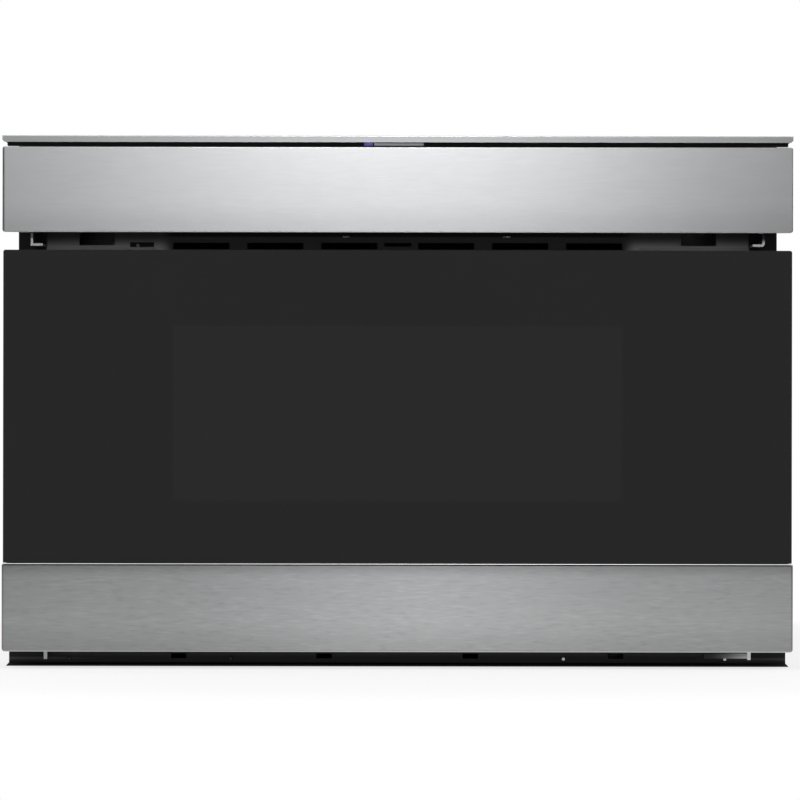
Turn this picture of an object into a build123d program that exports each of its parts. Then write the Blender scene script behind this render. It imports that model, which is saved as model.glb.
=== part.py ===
from build123d import *
import math
import os

# Microwave drawer, millimetres. X points right, Y points back, Z points up.
# The origin is under the middle of the object, on the shelf that it stands on.
# Depths called "back" are counted from the front of the stainless strip.

# ---- Front faces, stacked from the shelf up
BOTTOM_GAP = 13.2
STRIP_H = 68.1
GLASS_H = 239.9
SLOT_H = 13.5
PANEL_H = 65.6
RECESS_H = 3.6
TRIM_H = 4.9
# ---- Widths of the front pieces
WIDTH = 606.4
PANEL_INSET = 0.2
GLASS_INSET = 0.8
CARRIER_INSET = 3.2
BACKING_INSET = 6.2
SENSOR_BAR_INSET = 3.7
FRAME_INSET = 9.2
BOTTOM_TRIM_INSET = 2.2
# ---- Depths
FRONT_DEPTH = 58.0
BOX_DEPTH = 581.0
GLAND_PROUD = 2.0
GLASS_BACK = 2.0
PANEL_BACK = 1.0
DOOR_GAP = 2.0
# ---- Sheet and wall thicknesses
STAINLESS = 1.0
FRAME_T = 2.0
CASE_T = 1.0
BASE_T = 1.2
CAVITY_T = 1.0
GLASS_T = 4.0
CARRIER_WALL = 2.5
BACKING_T = 1.2
TRAY_T = 1.2
DUCT_T = 1.2
# ---- Clearances
SEAT_GAP = 0.3
RUN_GAP = 0.05
RAIL_GAP = 0.4
MESH_GAP = 0.12
# ---- Case behind the flange
BOX_INSET = 25.2
BOX_UNDER_TOP = 32.8
FOOT_H = 4.0
FOOT_R = 14.0
FOOT_FROM_SIDE = 43.0
FOOT_INSET = 30.0
FOOT_BEVEL = 0.8
PEG_PROUD = 1.0
VENT_W = 40.0
VENT_H = 4.0
VENT_PITCH = 11.0
VENT_ROWS = 6
# ---- Oven cavity and drawer tray
CAVITY_SIDE = 48.0
CAVITY_OVER = 85.0
CAVITY_D = 448.0
CAVITY_UP = 103.0
TRAY_SIDE_GAP = 6.0
TRAY_UNDER_GAP = 3.0
TRAY_TOP_GAP = 19.0
TRAY_REAR_GAP = 20.0
TRAY_RIM = 3.0
TRAY_LEDGE = 12.0
FLOOR_T = 5.0
FLOOR_GAP = 1.0
FLOOR_BEVEL = 0.8
EXHAUST_ROWS = 4
EXHAUST_COLUMNS = 6
EXHAUST_PITCH_X = 24.0
EXHAUST_PITCH_Y = 18.0
EXHAUST_BACK = 40.0
EXHAUST_R = 3.0
# ---- Drawer front
WINDOW_SIDE = 130.4
WINDOW_FROM_BELOW = 47.7
WINDOW_FROM_ABOVE = 58.2
SCREEN_T = 0.8
INNER_GLASS_T = 3.0
WINDOW_LAP = 6.0
CHOKE_W = 14.0
CHOKE_DEPTH = 20.0
CHOKE_EDGE = 22.0
CHOKE_LAP = 3.0
COVER_T = 2.8
STRIP_RIM = 14.0
STRIP_LOW_R = 2.4
STRIP_HIGH_R = 1.3
STRIP_SOFT = 0.7
GLASS_LOW_R = 0.6
GLASS_HIGH_R = 1.6
GLASS_BEVEL = 0.5
CARRIER_EDGE = 1.0
BACKING_EDGE = 3.0
# ---- Slides
RAIL_H = 45.0
RAIL_W = 12.7
RAIL_T = 1.5
RAIL_LIP_GAP = 1.1
RAIL_UP = 14.0
RAIL_START = 2.0
RAIL_OUTER_L = 420.0
RAIL_MIDDLE_L = 400.0
RAIL_INNER_L = 410.0
BASE_FLANGE_H = 66.0
ARM_T = 2.5
ARM_L = 110.0
ARM_EDGE = 6.0
TAB_T = 2.7
TAB_FROM_EDGE = 24.4
TAB_DOWN = 5.3
TAB_DEPTH = 2.8
BRACKET_FLANGE = 34.0
BAR_H = 10.0
BAR_D = 25.0
BAR_T = 1.5
BAR_UP = 9.0
BAR_FROM_END = 4.0
# ---- Rack drive
DRIVE_MODULE = 2.0
DRIVE_TEETH = 18
PRESSURE_ANGLE = 20.0
RACK_PITCH_UP = 62.0
RACK_BACK_H = 10.0
RACK_W = 10.0
RACK_X = 150.0
PINION_BACK = 106.0
RACK_TEETH = 64
RACK_LEAD = 12.0
RACK_FOOT_W = 30.0
RACK_FOOT_T = 2.5
RACK_FOOT_DOWN = 4.0
RACK_FOOT_UP = 6.0
RACK_STAY_T = 3.0
ROOT_DEPTH = 1.25
DRIVE_STUB = 0.95
GEARBOX_GAP = 5.0
GEARBOX_LIFT = 1.0
MOTOR_CAN_R = 17.0
MOTOR_CAN_L = 52.0
GEARBOX_L = 42.0
GEARBOX_W = 50.0
GEARBOX_H = 46.0
DRIVE_SHAFT_R = 4.0
SHAFT_GRIP = 16.0
# ---- Control panel
PIVOT_BACK = 6.5
PIVOT_UP = 4.5
PIN_R = 2.0
PIN_GRIP = 10.0
PIN_HEAD_R = 3.6
PIN_HEAD_T = 1.6
PANEL_RIM = 8.0
PANEL_LOW_R = 2.2
PANEL_HIGH_R = 1.6
PANEL_SOFT = 0.5
HOUSING_INSET = 29.0
HOUSING_WALL = 2.5
HOUSING_DROP = 4.0
HOUSING_FOOT = 6.0
HOUSING_REAR_UP = 6.0
HOUSING_REAR_BACK = 46.5
HOUSING_FILL = 4.0
TOUCH_INSET = 1.0
TOUCH_T = 3.0
TOUCH_FRONT_BACK = 3.5
TOUCH_FRONT_DROP = 0.6
TOUCH_SLOPE = 29.0
TOUCH_L = 57.0
BOARD_SIDE = 41.0
BOARD_L = 44.0
BOARD_INSET = 6.0
BOARD_T = 1.6
KEY_CHIP_W = 14.0
KEY_CHIP_T = 2.5
KEY_CHIP_FROM_END = 52.0
KEY_CHIP_PITCH = 60.0
DISPLAY_W = 120.0
DISPLAY_L = 34.0
DISPLAY_T = 9.0
# ---- Panel hinge and its drive
WEB_T = 1.8
WEB_BESIDE = 7.5
WEB_NOSE_R = 5.0
WEB_TOP = 26.0
WEB_FRONT = 11.0
WEB_CHEST = 30.0
NOSE_STEP = 1.0
HINGE_FOOT_W = 9.2
HINGE_DROP = 10.0
TAB_W = 10.0
TAB_UP = 1.0
PANEL_MODULE = 0.8
SECTOR_TEETH = 36
PANEL_PINION_TEETH = 18
SECTOR_T = 3.6
SECTOR_HUB_R = 4.6
SECTOR_FROM = 8.0
SECTOR_TO = 110.0
SECTOR_REACH = 1.2
PANEL_STUB = 0.9
MESH_ANGLE = 24.0
PANEL_PINION_T = 3.8
PANEL_PINION_GAP = 0.4
PANEL_SHAFT_R = 2.0
PANEL_GEARBOX_L = 34.0
PANEL_GEARBOX_D = 24.0
PANEL_GEARBOX_H = 20.0
PANEL_GEARBOX_BACK = 10.0
PANEL_GEARBOX_UP = 6.0
PANEL_CAN_R = 8.0
PANEL_CAN_L = 34.0
# ---- Sensor bar
BAR_CLEAR = 0.9
SENSOR_BACK = 5.0
SENSOR_D = 12.0
LENS_W = 38.0
LENS_X = 0.8
LENS_H = 2.4
LENS_UP = 0.2
LENS_POCKET = 4.0
LENS_PROUD = 0.3
LED_W = 6.8
LED_X = -22.6
# ---- Front frame details
FRAME_TOP_FLANGE = 22.0
FRAME_FLANGE_T = 1.5
TRIM_SOFT = 0.4
TRIM_CORNER = 1.6
LOUVRE_UP = 2.0
LOUVRE_H = 5.0
LOUVRE_SHORT_H = 2.8
LOUVRE_L = 43.4
LOUVRE_PITCH = 57.4
LOUVRE_FIRST = 37.6
LOUVRE_SHORT_W = 21.0
LOUVRES_A_SIDE = 3
VIEW_SLOT_FROM_EDGE = 60.7
VIEW_SLOT_W = 27.3
VIEW_SLOT_H = 9.6
VIEW_SLOT_UP = 4.9
LEDGE_UP = 1.1
LEDGE_H = 2.4
LEDGE_PROUD = 2.0
LEDGE_L = 85.0
LEDGE_FROM_EDGE = 22.0
CREASE_UP = 9.1
CREASE_H = 0.8
CREASE_FROM_EDGE = 61.0
NOTCH_W = 12.0
NOTCH_H = 3.9
NOTCH_UP = 5.9
NOTCH_FROM_EDGE = 131.6
NOTCH_PITCH = 112.7
MOUNT_FROM_EDGE = 7.0
MOUNT_LOW = 95.0
MOUNT_FROM_TOP = 113.8
MOUNT_R = 2.25
KEYWAY_FROM_EDGE = 95.6
KEYWAY_W = 18.5
KEYWAY_H = 5.4
KEYWAY_UP = 1.9
KEYWAY_DEPTH = 1.2
KEYWAY_SHIFT = 3.2
BOTTOM_SCREW_FROM_EDGE = 47.0
BOTTOM_SCREW_PITCH = 125.1
BOTTOM_SCREW_UP = 5.7
WINDOW_GAP = 3.0
PASS_GAP = 2.0
RAIL_PASS = 0.6
# ---- Bottom trim
LIP_FORWARD = 4.6
LIP_T = 1.2
LIP_RISE = 2.6
TRIM_PLATE_T = 1.4
TRIM_PLATE_TOP = 12.4
# ---- Latches
HOOK_BESIDE = 34.0
HOOK_T = 4.0
HOOK_FROM_TOP = 9.0
HOOK_H = 14.0
HOOK_L = 25.0
HOOK_NOSE = 6.0
PLUNGER_R = 2.5
PLUNGER_L = 9.0
PLUNGER_OUT = 3.6
SWITCH_L = 20.0
SWITCH_W = 16.0
SWITCH_H = 26.0
PLUNGER_TRAVEL = 1.2
PLUNGER_SPARE = 1.0
# ---- Microwave parts
WELL_R = 105.0
WELL_H = 18.0
ANTENNA_R = 80.0
ANTENNA_T = 1.0
ANTENNA_LIFT = 8.0
ANTENNA_SHAFT_R = 3.0
ANTENNA_SLOTS = 4
ANTENNA_SLOT_AT = 50.0
ANTENNA_SLOT_L = 30.0
ANTENNA_SLOT_W = 9.0
ANTENNA_SLOT_TURN = 20.0
ANTENNA_GRIP = 14.0
FEED_HOLE_R = 12.0
COVER_DISC_T = 1.8
GUIDE_W = 96.0
GUIDE_H = 31.0
GUIDE_T = 1.2
GUIDE_LEAD = 52.0
GUIDE_REAR = 34.0
GUIDE_SHAFT_GAP = 0.6
STIRRER_MOTOR_R = 24.0
STIRRER_MOTOR_H = 22.0
MAGNETRON_BACK = 70.0
MAGNETRON_W = 100.0
MAGNETRON_D = 88.0
MAGNETRON_H = 66.0
MAGNETRON_CORE_R = 27.0
MAGNETRON_LEG_W = 12.0
MAGNETRON_BOX_W = 80.0
MAGNETRON_BOX_H = 30.0
MAGNETRON_BOX_INSET = 6.0
MAGNETRON_CAP_R = 9.0
MAGNETRON_CAP_H = 20.0
MAGNETRON_FINS = 7
FIN_T = 0.8
FIN_INSET = 2.0
PLATE_T = 2.0
# ---- Cooling fan
FAN_X = 112.0
FAN_FRAME = 118.0
FAN_FRAME_T = 26.0
FAN_BORE_R = 54.0
FAN_ROTOR_R = 51.0
FAN_HUB_R = 18.0
FAN_BLADES = 7
FAN_BLADE_T = 1.6
FAN_BLADE_W = 18.0
FAN_BLADE_IN = 2.0
FAN_BLADE_TURN = 35.0
FAN_TIP_GAP = 2.0
FAN_UP = 152.0
FAN_STRUT_W = 8.0
FAN_STRUT_T = 3.0
FAN_MOTOR_R = 24.0
FAN_MOTOR_L = 34.0
FAN_SHAFT_R = 2.5
# ---- Power parts
TRANSFORMER_W = 90.0
TRANSFORMER_D = 76.0
TRANSFORMER_H = 76.0
TRANSFORMER_FROM_SIDE = 28.0
COIL_PROUD = 12.0
COIL_GAP = 4.0
CAPACITOR_W = 54.0
CAPACITOR_D = 34.0
CAPACITOR_H = 96.0
CAPACITOR_BESIDE = 21.0
TERMINAL_APART = 24.0
TERMINAL_W = 6.0
TERMINAL_T = 1.0
TERMINAL_H = 8.0
POWER_REAR = 40.0
CONTROL_X = -115.0
CONTROL_W = 190.0
CONTROL_D = 140.0
CONTROL_BACK = 260.0
STANDOFF_H = 10.0
STANDOFF_R = 3.5
PARTS_MARGIN = 20.0
PARTS_GAP = 8.0
# ---- Tall parts of the control board: width, depth and height of each
MAINS_COIL = (42.0, 36.0, 34.0)
RELAY = (20.0, 16.0, 18.0)
FILTER_CAN = (30.0, 30.0, 26.0)
SMALL_COIL = (26.0, 12.0, 14.0)
PLUG_ROW = (40.0, 22.0, 9.0)
HEAT_SINK = (12.0, 44.0, 12.0)
# ---- Exhaust duct, lamp and cord
DUCT_W = 356.0
DUCT_H = 41.0
DUCT_D = 150.0
LAMP_BACK = 190.0
LAMP_FROM_TOP = 56.0
LAMP_SIZE = 30.0
LAMP_WALL = 2.0
LAMP_BASE = 4.0
LAMP_BULB_R = 7.0
LAMP_BULB_IN = 3.0
LAMP_HOLE_R = 8.0
GLAND_FROM_SIDE = 98.0
GLAND_FROM_TOP = 76.0
GLAND_R = 11.0
GLAND_HOLE_R = 4.5
GLAND_L = 14.0
GLAND_FLANGE_R = 15.0
# ---- Screws
SCREW_R = 1.4
SCREW_HEAD_R = 2.6
SCREW_HEAD_T = 1.6
SCREW_TIP = 0.5
SMALL_HEAD_R = 1.5
SMALL_SHANK_R = 0.8
SCREW_EDGE = 1.0
# ---- How far a cut runs past the metal, so that it leaves no skin
PAST = 1.0

# ---- Levels worked out from the stack
STRIP_Z = (BOTTOM_GAP, BOTTOM_GAP + STRIP_H - SEAT_GAP)
GLASS_Z = (BOTTOM_GAP + STRIP_H, BOTTOM_GAP + STRIP_H + GLASS_H)
SLOT_Z = GLASS_Z[1]
PANEL_Z = (SLOT_Z + SLOT_H, SLOT_Z + SLOT_H + PANEL_H)
TRIM_Z = (PANEL_Z[1] + RECESS_H, PANEL_Z[1] + RECESS_H + TRIM_H)
HEIGHT = TRIM_Z[1]
DEPTH = FRONT_DEPTH + BOX_DEPTH + GLAND_PROUD
BOX_Z = (FOOT_H, HEIGHT - BOX_UNDER_TOP)
BASE_TOP = FOOT_H + BASE_T
CAVITY_Z = (CAVITY_UP, BOX_Z[1] - CAVITY_OVER)
WINDOW_Z = (GLASS_Z[0] + WINDOW_FROM_BELOW, GLASS_Z[1] - WINDOW_FROM_ABOVE)
TRAY_Z = (CAVITY_UP + TRAY_UNDER_GAP, CAVITY_Z[1] - TRAY_TOP_GAP)
MOUNT_HIGH = HEIGHT - MOUNT_FROM_TOP
HOOK_UP = CAVITY_Z[1] - HOOK_FROM_TOP - HOOK_H
LAMP_UP = CAVITY_Z[1] - LAMP_FROM_TOP
GLAND_UP = BOX_Z[1] - GLAND_FROM_TOP

# ---- Widths and places across, worked out from the overall width
PANEL_W = WIDTH - 2 * PANEL_INSET
GLASS_W = WIDTH - 2 * GLASS_INSET
CARRIER_W = WIDTH - 2 * CARRIER_INSET
BACKING_W = WIDTH - 2 * BACKING_INSET
SENSOR_BAR_W = WIDTH - 2 * SENSOR_BAR_INSET
FRAME_W = WIDTH - 2 * FRAME_INSET
BOTTOM_TRIM_W = WIDTH - 2 * BOTTOM_TRIM_INSET
BOX_W = WIDTH - 2 * BOX_INSET
CAVITY_W = BOX_W - 2 * CAVITY_SIDE
WINDOW_W = GLASS_W - 2 * WINDOW_SIDE
HOUSING_W = PANEL_W - 2 * HOUSING_INSET
TOUCH_W = HOUSING_W - 2 * TOUCH_INSET
BOARD_W = TOUCH_W - 2 * BOARD_SIDE
WEB_X = HOUSING_W / 2 + WEB_BESIDE
FOOT_X = BOX_W / 2 - FOOT_FROM_SIDE
TAB_X = BACKING_W / 2 - TAB_FROM_EDGE
HOOK_X = CAVITY_W / 2 + HOOK_BESIDE
LEDGE_OUT = FRAME_W / 2 - LEDGE_FROM_EDGE
VIEW_SLOT_X = FRAME_W / 2 - VIEW_SLOT_FROM_EDGE
CREASE_W = FRAME_W - 2 * CREASE_FROM_EDGE
MOUNT_X = FRAME_W / 2 - MOUNT_FROM_EDGE
KEYWAY_X = KEYWAY_FROM_EDGE - FRAME_W / 2
NOTCH_OUTER = BOTTOM_TRIM_W / 2 - NOTCH_FROM_EDGE
NOTCH_INNER = NOTCH_OUTER - NOTCH_PITCH
BOTTOM_SCREW_OUTER = BOTTOM_TRIM_W / 2 - BOTTOM_SCREW_FROM_EDGE
BOTTOM_SCREW_INNER = BOTTOM_SCREW_OUTER - BOTTOM_SCREW_PITCH
TRANSFORMER_X = (TRANSFORMER_W - BOX_W) / 2 + TRANSFORMER_FROM_SIDE
CAPACITOR_X = TRANSFORMER_X + (TRANSFORMER_W + CAPACITOR_W) / 2 + CAPACITOR_BESIDE
GLAND_X = GLAND_FROM_SIDE - BOX_W / 2


def back(depth):
    """Y of a plane that lies this far behind the front of the stainless strip."""
    return depth - DEPTH / 2


# ---- Planes worked out from the depths
FRAME_Y = (back(FRONT_DEPTH - FRAME_T), back(FRONT_DEPTH))
DOOR_Y = FRAME_Y[0] - DOOR_GAP
BACKING_Y = (DOOR_Y - COVER_T - BACKING_T, DOOR_Y - COVER_T)
GLASS_Y = (back(GLASS_BACK), back(GLASS_BACK + GLASS_T))
BOX_Y = (FRAME_Y[1], back(FRONT_DEPTH + BOX_DEPTH))
CAVITY_Y = (FRAME_Y[1], FRAME_Y[1] + CAVITY_D)
FEED_Y = (CAVITY_Y[0] + CAVITY_Y[1]) / 2
PIVOT_Y = back(PANEL_BACK + PIVOT_BACK)
PIVOT_Z = PANEL_Z[0] + PIVOT_UP
RAIL_OUT = BOX_W / 2 - CASE_T - BASE_T
RAIL_IN = RAIL_OUT - RAIL_W
RAIL_Y = BOX_Y[0] + RAIL_START
WEB_IN = WEB_X - WEB_T / 2
WEB_OUT = WEB_X + WEB_T / 2
DRIVE_R = DRIVE_MODULE * DRIVE_TEETH / 2
DRIVE_Z = RACK_PITCH_UP - DRIVE_R
RACK_TOP = RACK_PITCH_UP + RACK_BACK_H
SECTOR_R = PANEL_MODULE * SECTOR_TEETH / 2
PANEL_PINION_R = PANEL_MODULE * PANEL_PINION_TEETH / 2


# ---- Shapes used by many pieces
def block(x, y, z):
    """Box between three pairs of limits."""
    size = Box(x[1] - x[0], y[1] - y[0], z[1] - z[0])
    return Pos((x[0] + x[1]) / 2, (y[0] + y[1]) / 2, (z[0] + z[1]) / 2) * size


def wide(width, y, z):
    """Box centred on the middle plane."""
    return block((-width / 2, width / 2), y, z)


def rod_x(y, z, radius, x):
    """Cylinder along X."""
    return Pos((x[0] + x[1]) / 2, y, z) * Rot(0, 90, 0) * Cylinder(radius, abs(x[1] - x[0]))


def rod_y(x, z, radius, y):
    """Cylinder along Y."""
    return Pos(x, (y[0] + y[1]) / 2, z) * Rot(90, 0, 0) * Cylinder(radius, abs(y[1] - y[0]))


def rod_z(x, y, radius, z):
    """Cylinder along Z."""
    return Pos(x, y, (z[0] + z[1]) / 2) * Cylinder(radius, abs(z[1] - z[0]))


def slab_x(outline, x):
    """Outline of (y, z) points, made solid between two X limits."""
    face = Plane.YZ * make_face(Polyline(*outline, close=True))
    return Pos(x[0], 0, 0) * extrude(face, amount=x[1] - x[0], dir=(1, 0, 0))


def front_plate(width, y, z, low_r, high_r):
    """Plate seen from the front as a rectangle, its lower and upper corners rounded."""
    sketch = Rectangle(width, z[1] - z[0])
    sketch = fillet(sketch.vertices().group_by(Axis.Y)[0], low_r)
    sketch = fillet(sketch.vertices().group_by(Axis.Y)[-1], high_r)
    face = Plane.XZ * sketch
    return Pos(0, y[0], (z[0] + z[1]) / 2) * extrude(face, amount=y[1] - y[0], dir=(0, 1, 0))


def mirrored(solid):
    """The same piece on the other side."""
    return mirror(solid, about=Plane.YZ)


def beyond(limits):
    """Limits of a cut that runs past both ends."""
    return limits[0] - PAST, limits[1] + PAST


def ring(outer, inner, y):
    """Rectangular ring: each size is (width, low z, high z)."""
    solid = wide(outer[0], y, outer[1:])
    return solid - wide(inner[0], beyond(y), inner[1:])


def channel(web_x, lip_x, y, z, wall):
    """C section lying along Y, its web at web_x and its lips reaching to lip_x."""
    toward = 1 if lip_x > web_x else -1
    body = block(sorted((web_x, lip_x)), y, z)
    hollow = sorted((web_x + toward * wall, lip_x + toward * PAST))
    return body - block(hollow, beyond(y), (z[0] + wall, z[1] - wall))


def soft_front(solid, radius):
    """Round the edges of the piece's front face."""
    return fillet(solid.faces().sort_by(Axis.Y)[0].edges(), radius)


class Screw:
    """Pan-head screw whose head sits on a place and which is driven one way."""

    def __init__(self, place, drive, length, head_r=SCREW_HEAD_R, shank_r=SCREW_R):
        self.plane = Plane(origin=place, z_dir=drive)
        self.length = length
        self.head_r = head_r
        self.shank_r = shank_r

    def along(self, radius, start, stop):
        """Cylinder round the screw's line, between two depths."""
        return self.plane * Pos(0, 0, (start + stop) / 2) * Cylinder(radius, stop - start)

    def solid(self):
        return self.along(self.head_r, -SCREW_HEAD_T, 0) + self.along(self.shank_r, 0, self.length)

    def bore(self):
        return self.along(self.shank_r + RUN_GAP, -SCREW_TIP, self.length + SCREW_TIP)


BACKWARD, FORWARD, UPWARD = (0, 1, 0), (0, -1, 0), (0, 0, 1)


def drilled(solid, screws):
    """The piece with a hole for each screw."""
    for screw in screws:
        solid -= screw.bore()
    return solid


def involute(angle):
    """Involute function of a pressure angle in radians."""
    return math.tan(angle) - angle


def gear(module, teeth, first_tooth, backlash, stub):
    """Flat spur gear with one tooth centred on the angle first_tooth, in degrees."""
    pitch_r = module * teeth / 2
    base_r = pitch_r * math.cos(math.radians(PRESSURE_ANGLE))
    tip_r = pitch_r + stub * module
    root_r = pitch_r - ROOT_DEPTH * module
    half = (math.pi * module / 2 - backlash) / (2 * pitch_r)
    half += involute(math.radians(PRESSURE_ANGLE))
    steps = 5
    start_r = max(base_r, root_r)
    flank = []
    for step in range(steps + 1):
        radius = start_r + (tip_r - start_r) * step / steps
        angle = half - involute(math.acos(min(1.0, base_r / radius)))
        flank.append((radius, angle))
    points = []
    for tooth in range(teeth):
        centre = math.radians(first_tooth) + tooth * 2 * math.pi / teeth
        side = [(root_r, flank[0][1])] if root_r < start_r else []
        side += flank
        whole = [(r, -a) for r, a in side] + [(r, a) for r, a in reversed(side)]
        points += [(r * math.cos(centre + a), r * math.sin(centre + a)) for r, a in whole]
    return make_face(Polyline(*points, close=True))


def gear_x(face, y, z, x):
    """Gear face made solid along X, its own X axis along Y and its Y axis along Z."""
    solid = extrude(Plane.YZ * face, amount=x[1] - x[0], dir=(1, 0, 0))
    return Pos(x[0], y, z) * solid


def save(name, *pieces):
    """Write one node."""
    solids = [solid for piece in pieces for solid in piece.solids()]
    shape = solids[0] if len(solids) == 1 else Compound(children=solids)
    export_step(shape, f"parts/{name}.step")


# ---- Case
def base_plate():
    """Base sheet with turned-up sides that carry the slides."""
    inner_w = BOX_W - 2 * CASE_T
    sheet = wide(inner_w, (BOX_Y[0], BOX_Y[1] - CASE_T), (FOOT_H, BASE_TOP))
    side = block(
        (inner_w / 2 - BASE_T, inner_w / 2), (BOX_Y[0], BOX_Y[1] - CASE_T), (FOOT_H, FOOT_H + BASE_FLANGE_H)
    )
    sheet = sheet + side + mirrored(side)
    for x, y in foot_places():
        sheet -= rod_z(x, y, SCREW_R + RUN_GAP, beyond((FOOT_H, BASE_TOP)))
    return drilled(sheet, case_screws())


def foot_places():
    """Centres of the four feet."""
    rows = (BOX_Y[0] + FOOT_INSET, BOX_Y[1] - FOOT_INSET)
    return [(x, y) for x in (-FOOT_X, FOOT_X) for y in rows]


def feet():
    """Four round feet, each with a peg pushed through the base."""
    solids = []
    for x, y in foot_places():
        pad = chamfer(rod_z(x, y, FOOT_R, (0, FOOT_H)).edges().sort_by(Axis.Z)[0], FOOT_BEVEL)
        solids.append(pad + rod_z(x, y, SCREW_R, (FOOT_H, BASE_TOP + PEG_PROUD)))
    return solids


def outer_wrap():
    """Folded cover: both sides and the top in one sheet."""
    span = (BOX_Y[0], BOX_Y[1])
    shell = wide(BOX_W, span, BOX_Z)
    shell -= wide(BOX_W - 2 * CASE_T, beyond(span), (BOX_Z[0] - PAST, BOX_Z[1] - CASE_T))
    for row in range(VENT_ROWS):
        low = BOX_Z[1] - VENT_W - row * VENT_PITCH
        for end in (span[0] + VENT_W, span[1] - 2 * VENT_W):
            shell -= wide(BOX_W + 2 * PAST, (end, end + VENT_W), (low, low + VENT_H))
    return drilled(shell, case_screws())


def case_screws():
    """Three screws along each side, through the turned-up edge of the base."""
    rows = (BOX_Y[0] + FOOT_INSET, (BOX_Y[0] + BOX_Y[1]) / 2, BOX_Y[1] - FOOT_INSET)
    level = FOOT_H + BASE_FLANGE_H - 2 * SCREW_HEAD_R
    length = CASE_T + BASE_T
    places = [(side, (side * BOX_W / 2, y, level)) for side in (-1, 1) for y in rows]
    return [Screw(place, (-side, 0, 0), length) for side, place in places]


def back_plate():
    """Rear sheet with an air grille and the cord opening."""
    inner_w = BOX_W - 2 * CASE_T
    y = (BOX_Y[1] - CASE_T, BOX_Y[1])
    sheet = wide(inner_w, y, (FOOT_H, BOX_Z[1] - CASE_T))
    for row in range(VENT_ROWS):
        low = FAN_UP - VENT_ROWS * VENT_PITCH / 2 + row * VENT_PITCH
        for column in (0, 1):
            x = FAN_X + FAN_FRAME_T + column * (VENT_W + VENT_H)
            sheet -= block((x, x + VENT_W), beyond(y), (low, low + VENT_H))
    return sheet - rod_y(GLAND_X, GLAND_UP, GLAND_R + RUN_GAP, beyond(y))


def cord_gland():
    """Grommet of the supply cord in the rear sheet."""
    barrel = rod_y(GLAND_X, GLAND_UP, GLAND_R, (BOX_Y[1] + GLAND_PROUD - GLAND_L, BOX_Y[1] + GLAND_PROUD))
    barrel += rod_y(GLAND_X, GLAND_UP, GLAND_FLANGE_R, (BOX_Y[1], BOX_Y[1] + GLAND_PROUD))
    return barrel - rod_y(GLAND_X, GLAND_UP, GLAND_HOLE_R, (BOX_Y[1] - 2 * GLAND_L, BOX_Y[1] + GLAND_L))


# ---- Front frame and fixed trims
def through_frame():
    """Y limits of a cut through the frame and the ledges on it."""
    return beyond((FRAME_Y[0] - LEDGE_PROUD, FRAME_Y[1]))


def louvre_slots():
    """Row of air slots behind the gap under the control panel."""
    y = through_frame()
    low = SLOT_Z + LOUVRE_UP
    slots = [wide(LOUVRE_SHORT_W, y, (low + LOUVRE_H - LOUVRE_SHORT_H, low + LOUVRE_H))]
    for number in range(LOUVRES_A_SIDE):
        centre = LOUVRE_FIRST + number * LOUVRE_PITCH
        slot = block((centre - LOUVRE_L / 2, centre + LOUVRE_L / 2), y, (low, low + LOUVRE_H))
        slots += [slot, mirrored(slot)]
    return slots


def rail_window():
    """Opening for one slide and its arm."""
    return block(
        (RAIL_IN - ARM_T - PASS_GAP, RAIL_OUT + RAIL_PASS),
        through_frame(),
        (TRIM_PLATE_TOP, RAIL_UP + RAIL_H + PASS_GAP),
    )


def hook_slot():
    """Opening for one latch hook."""
    return block(
        (HOOK_X - HOOK_T / 2 - PASS_GAP, HOOK_X + HOOK_T / 2 + PASS_GAP),
        through_frame(),
        (HOOK_UP - WINDOW_GAP, HOOK_UP + HOOK_H + WINDOW_GAP),
    )


def notch_boxes(y):
    """Air notches under the drawer."""
    return [
        block((x - NOTCH_W / 2, x + NOTCH_W / 2), y, (NOTCH_UP, NOTCH_UP + NOTCH_H))
        for x in (-NOTCH_OUTER, -NOTCH_INNER, NOTCH_INNER, NOTCH_OUTER)
    ]


def in_gap(start, height):
    """Z limits of a detail in the gap under the control panel."""
    return SLOT_Z + start, SLOT_Z + start + height


def front_frame():
    """Steel flange that closes on the cabinet, with every opening the front needs."""
    through = through_frame()
    top = HEIGHT - STAINLESS
    plate = wide(FRAME_W, FRAME_Y, (FOOT_H, top))
    plate += wide(FRAME_W, (FRAME_Y[0] - FRAME_TOP_FLANGE, FRAME_Y[0]), (top - FRAME_FLANGE_T, top))
    for side in (1, -1):
        ledge = sorted((side * (LEDGE_OUT - LEDGE_L), side * LEDGE_OUT))
        plate += block(ledge, (FRAME_Y[0] - LEDGE_PROUD, FRAME_Y[0]), in_gap(LEDGE_UP, LEDGE_H))
    plate += wide(CREASE_W, (FRAME_Y[0] - CREASE_H, FRAME_Y[0]), in_gap(CREASE_UP, CREASE_H))
    plate -= wide(CAVITY_W, through, CAVITY_Z)
    half = VIEW_SLOT_W / 2
    view = block((VIEW_SLOT_X - half, VIEW_SLOT_X + half), through, in_gap(VIEW_SLOT_UP, VIEW_SLOT_H))
    for hole in (view, rail_window(), hook_slot()):
        plate = plate - hole - mirrored(hole)
    for hole in louvre_slots() + notch_boxes(through):
        plate -= hole
    plate -= block(
        (RACK_X - RACK_W / 2 - PASS_GAP, RACK_X + RACK_W / 2 + PASS_GAP),
        through,
        (RACK_PITCH_UP - DRIVE_MODULE - 2 * PASS_GAP, RACK_TOP + WINDOW_GAP),
    )
    key_x = (KEYWAY_X - KEYWAY_W / 2, KEYWAY_X + KEYWAY_W / 2)
    plate -= block(key_x, (through[0], keyway_floor()), in_gap(KEYWAY_UP, KEYWAY_H))
    for x, z in [(x, z) for x in (-MOUNT_X, MOUNT_X) for z in (MOUNT_LOW, MOUNT_HIGH)]:
        plate -= rod_y(x, z, MOUNT_R, through)
    return drilled(plate, hinge_screws() + bottom_screws() + top_screws() + [keyway_screw()])


def keyway_floor():
    """Y of the floor of the small recess that holds one screw."""
    return FRAME_Y[0] + KEYWAY_DEPTH


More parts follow.
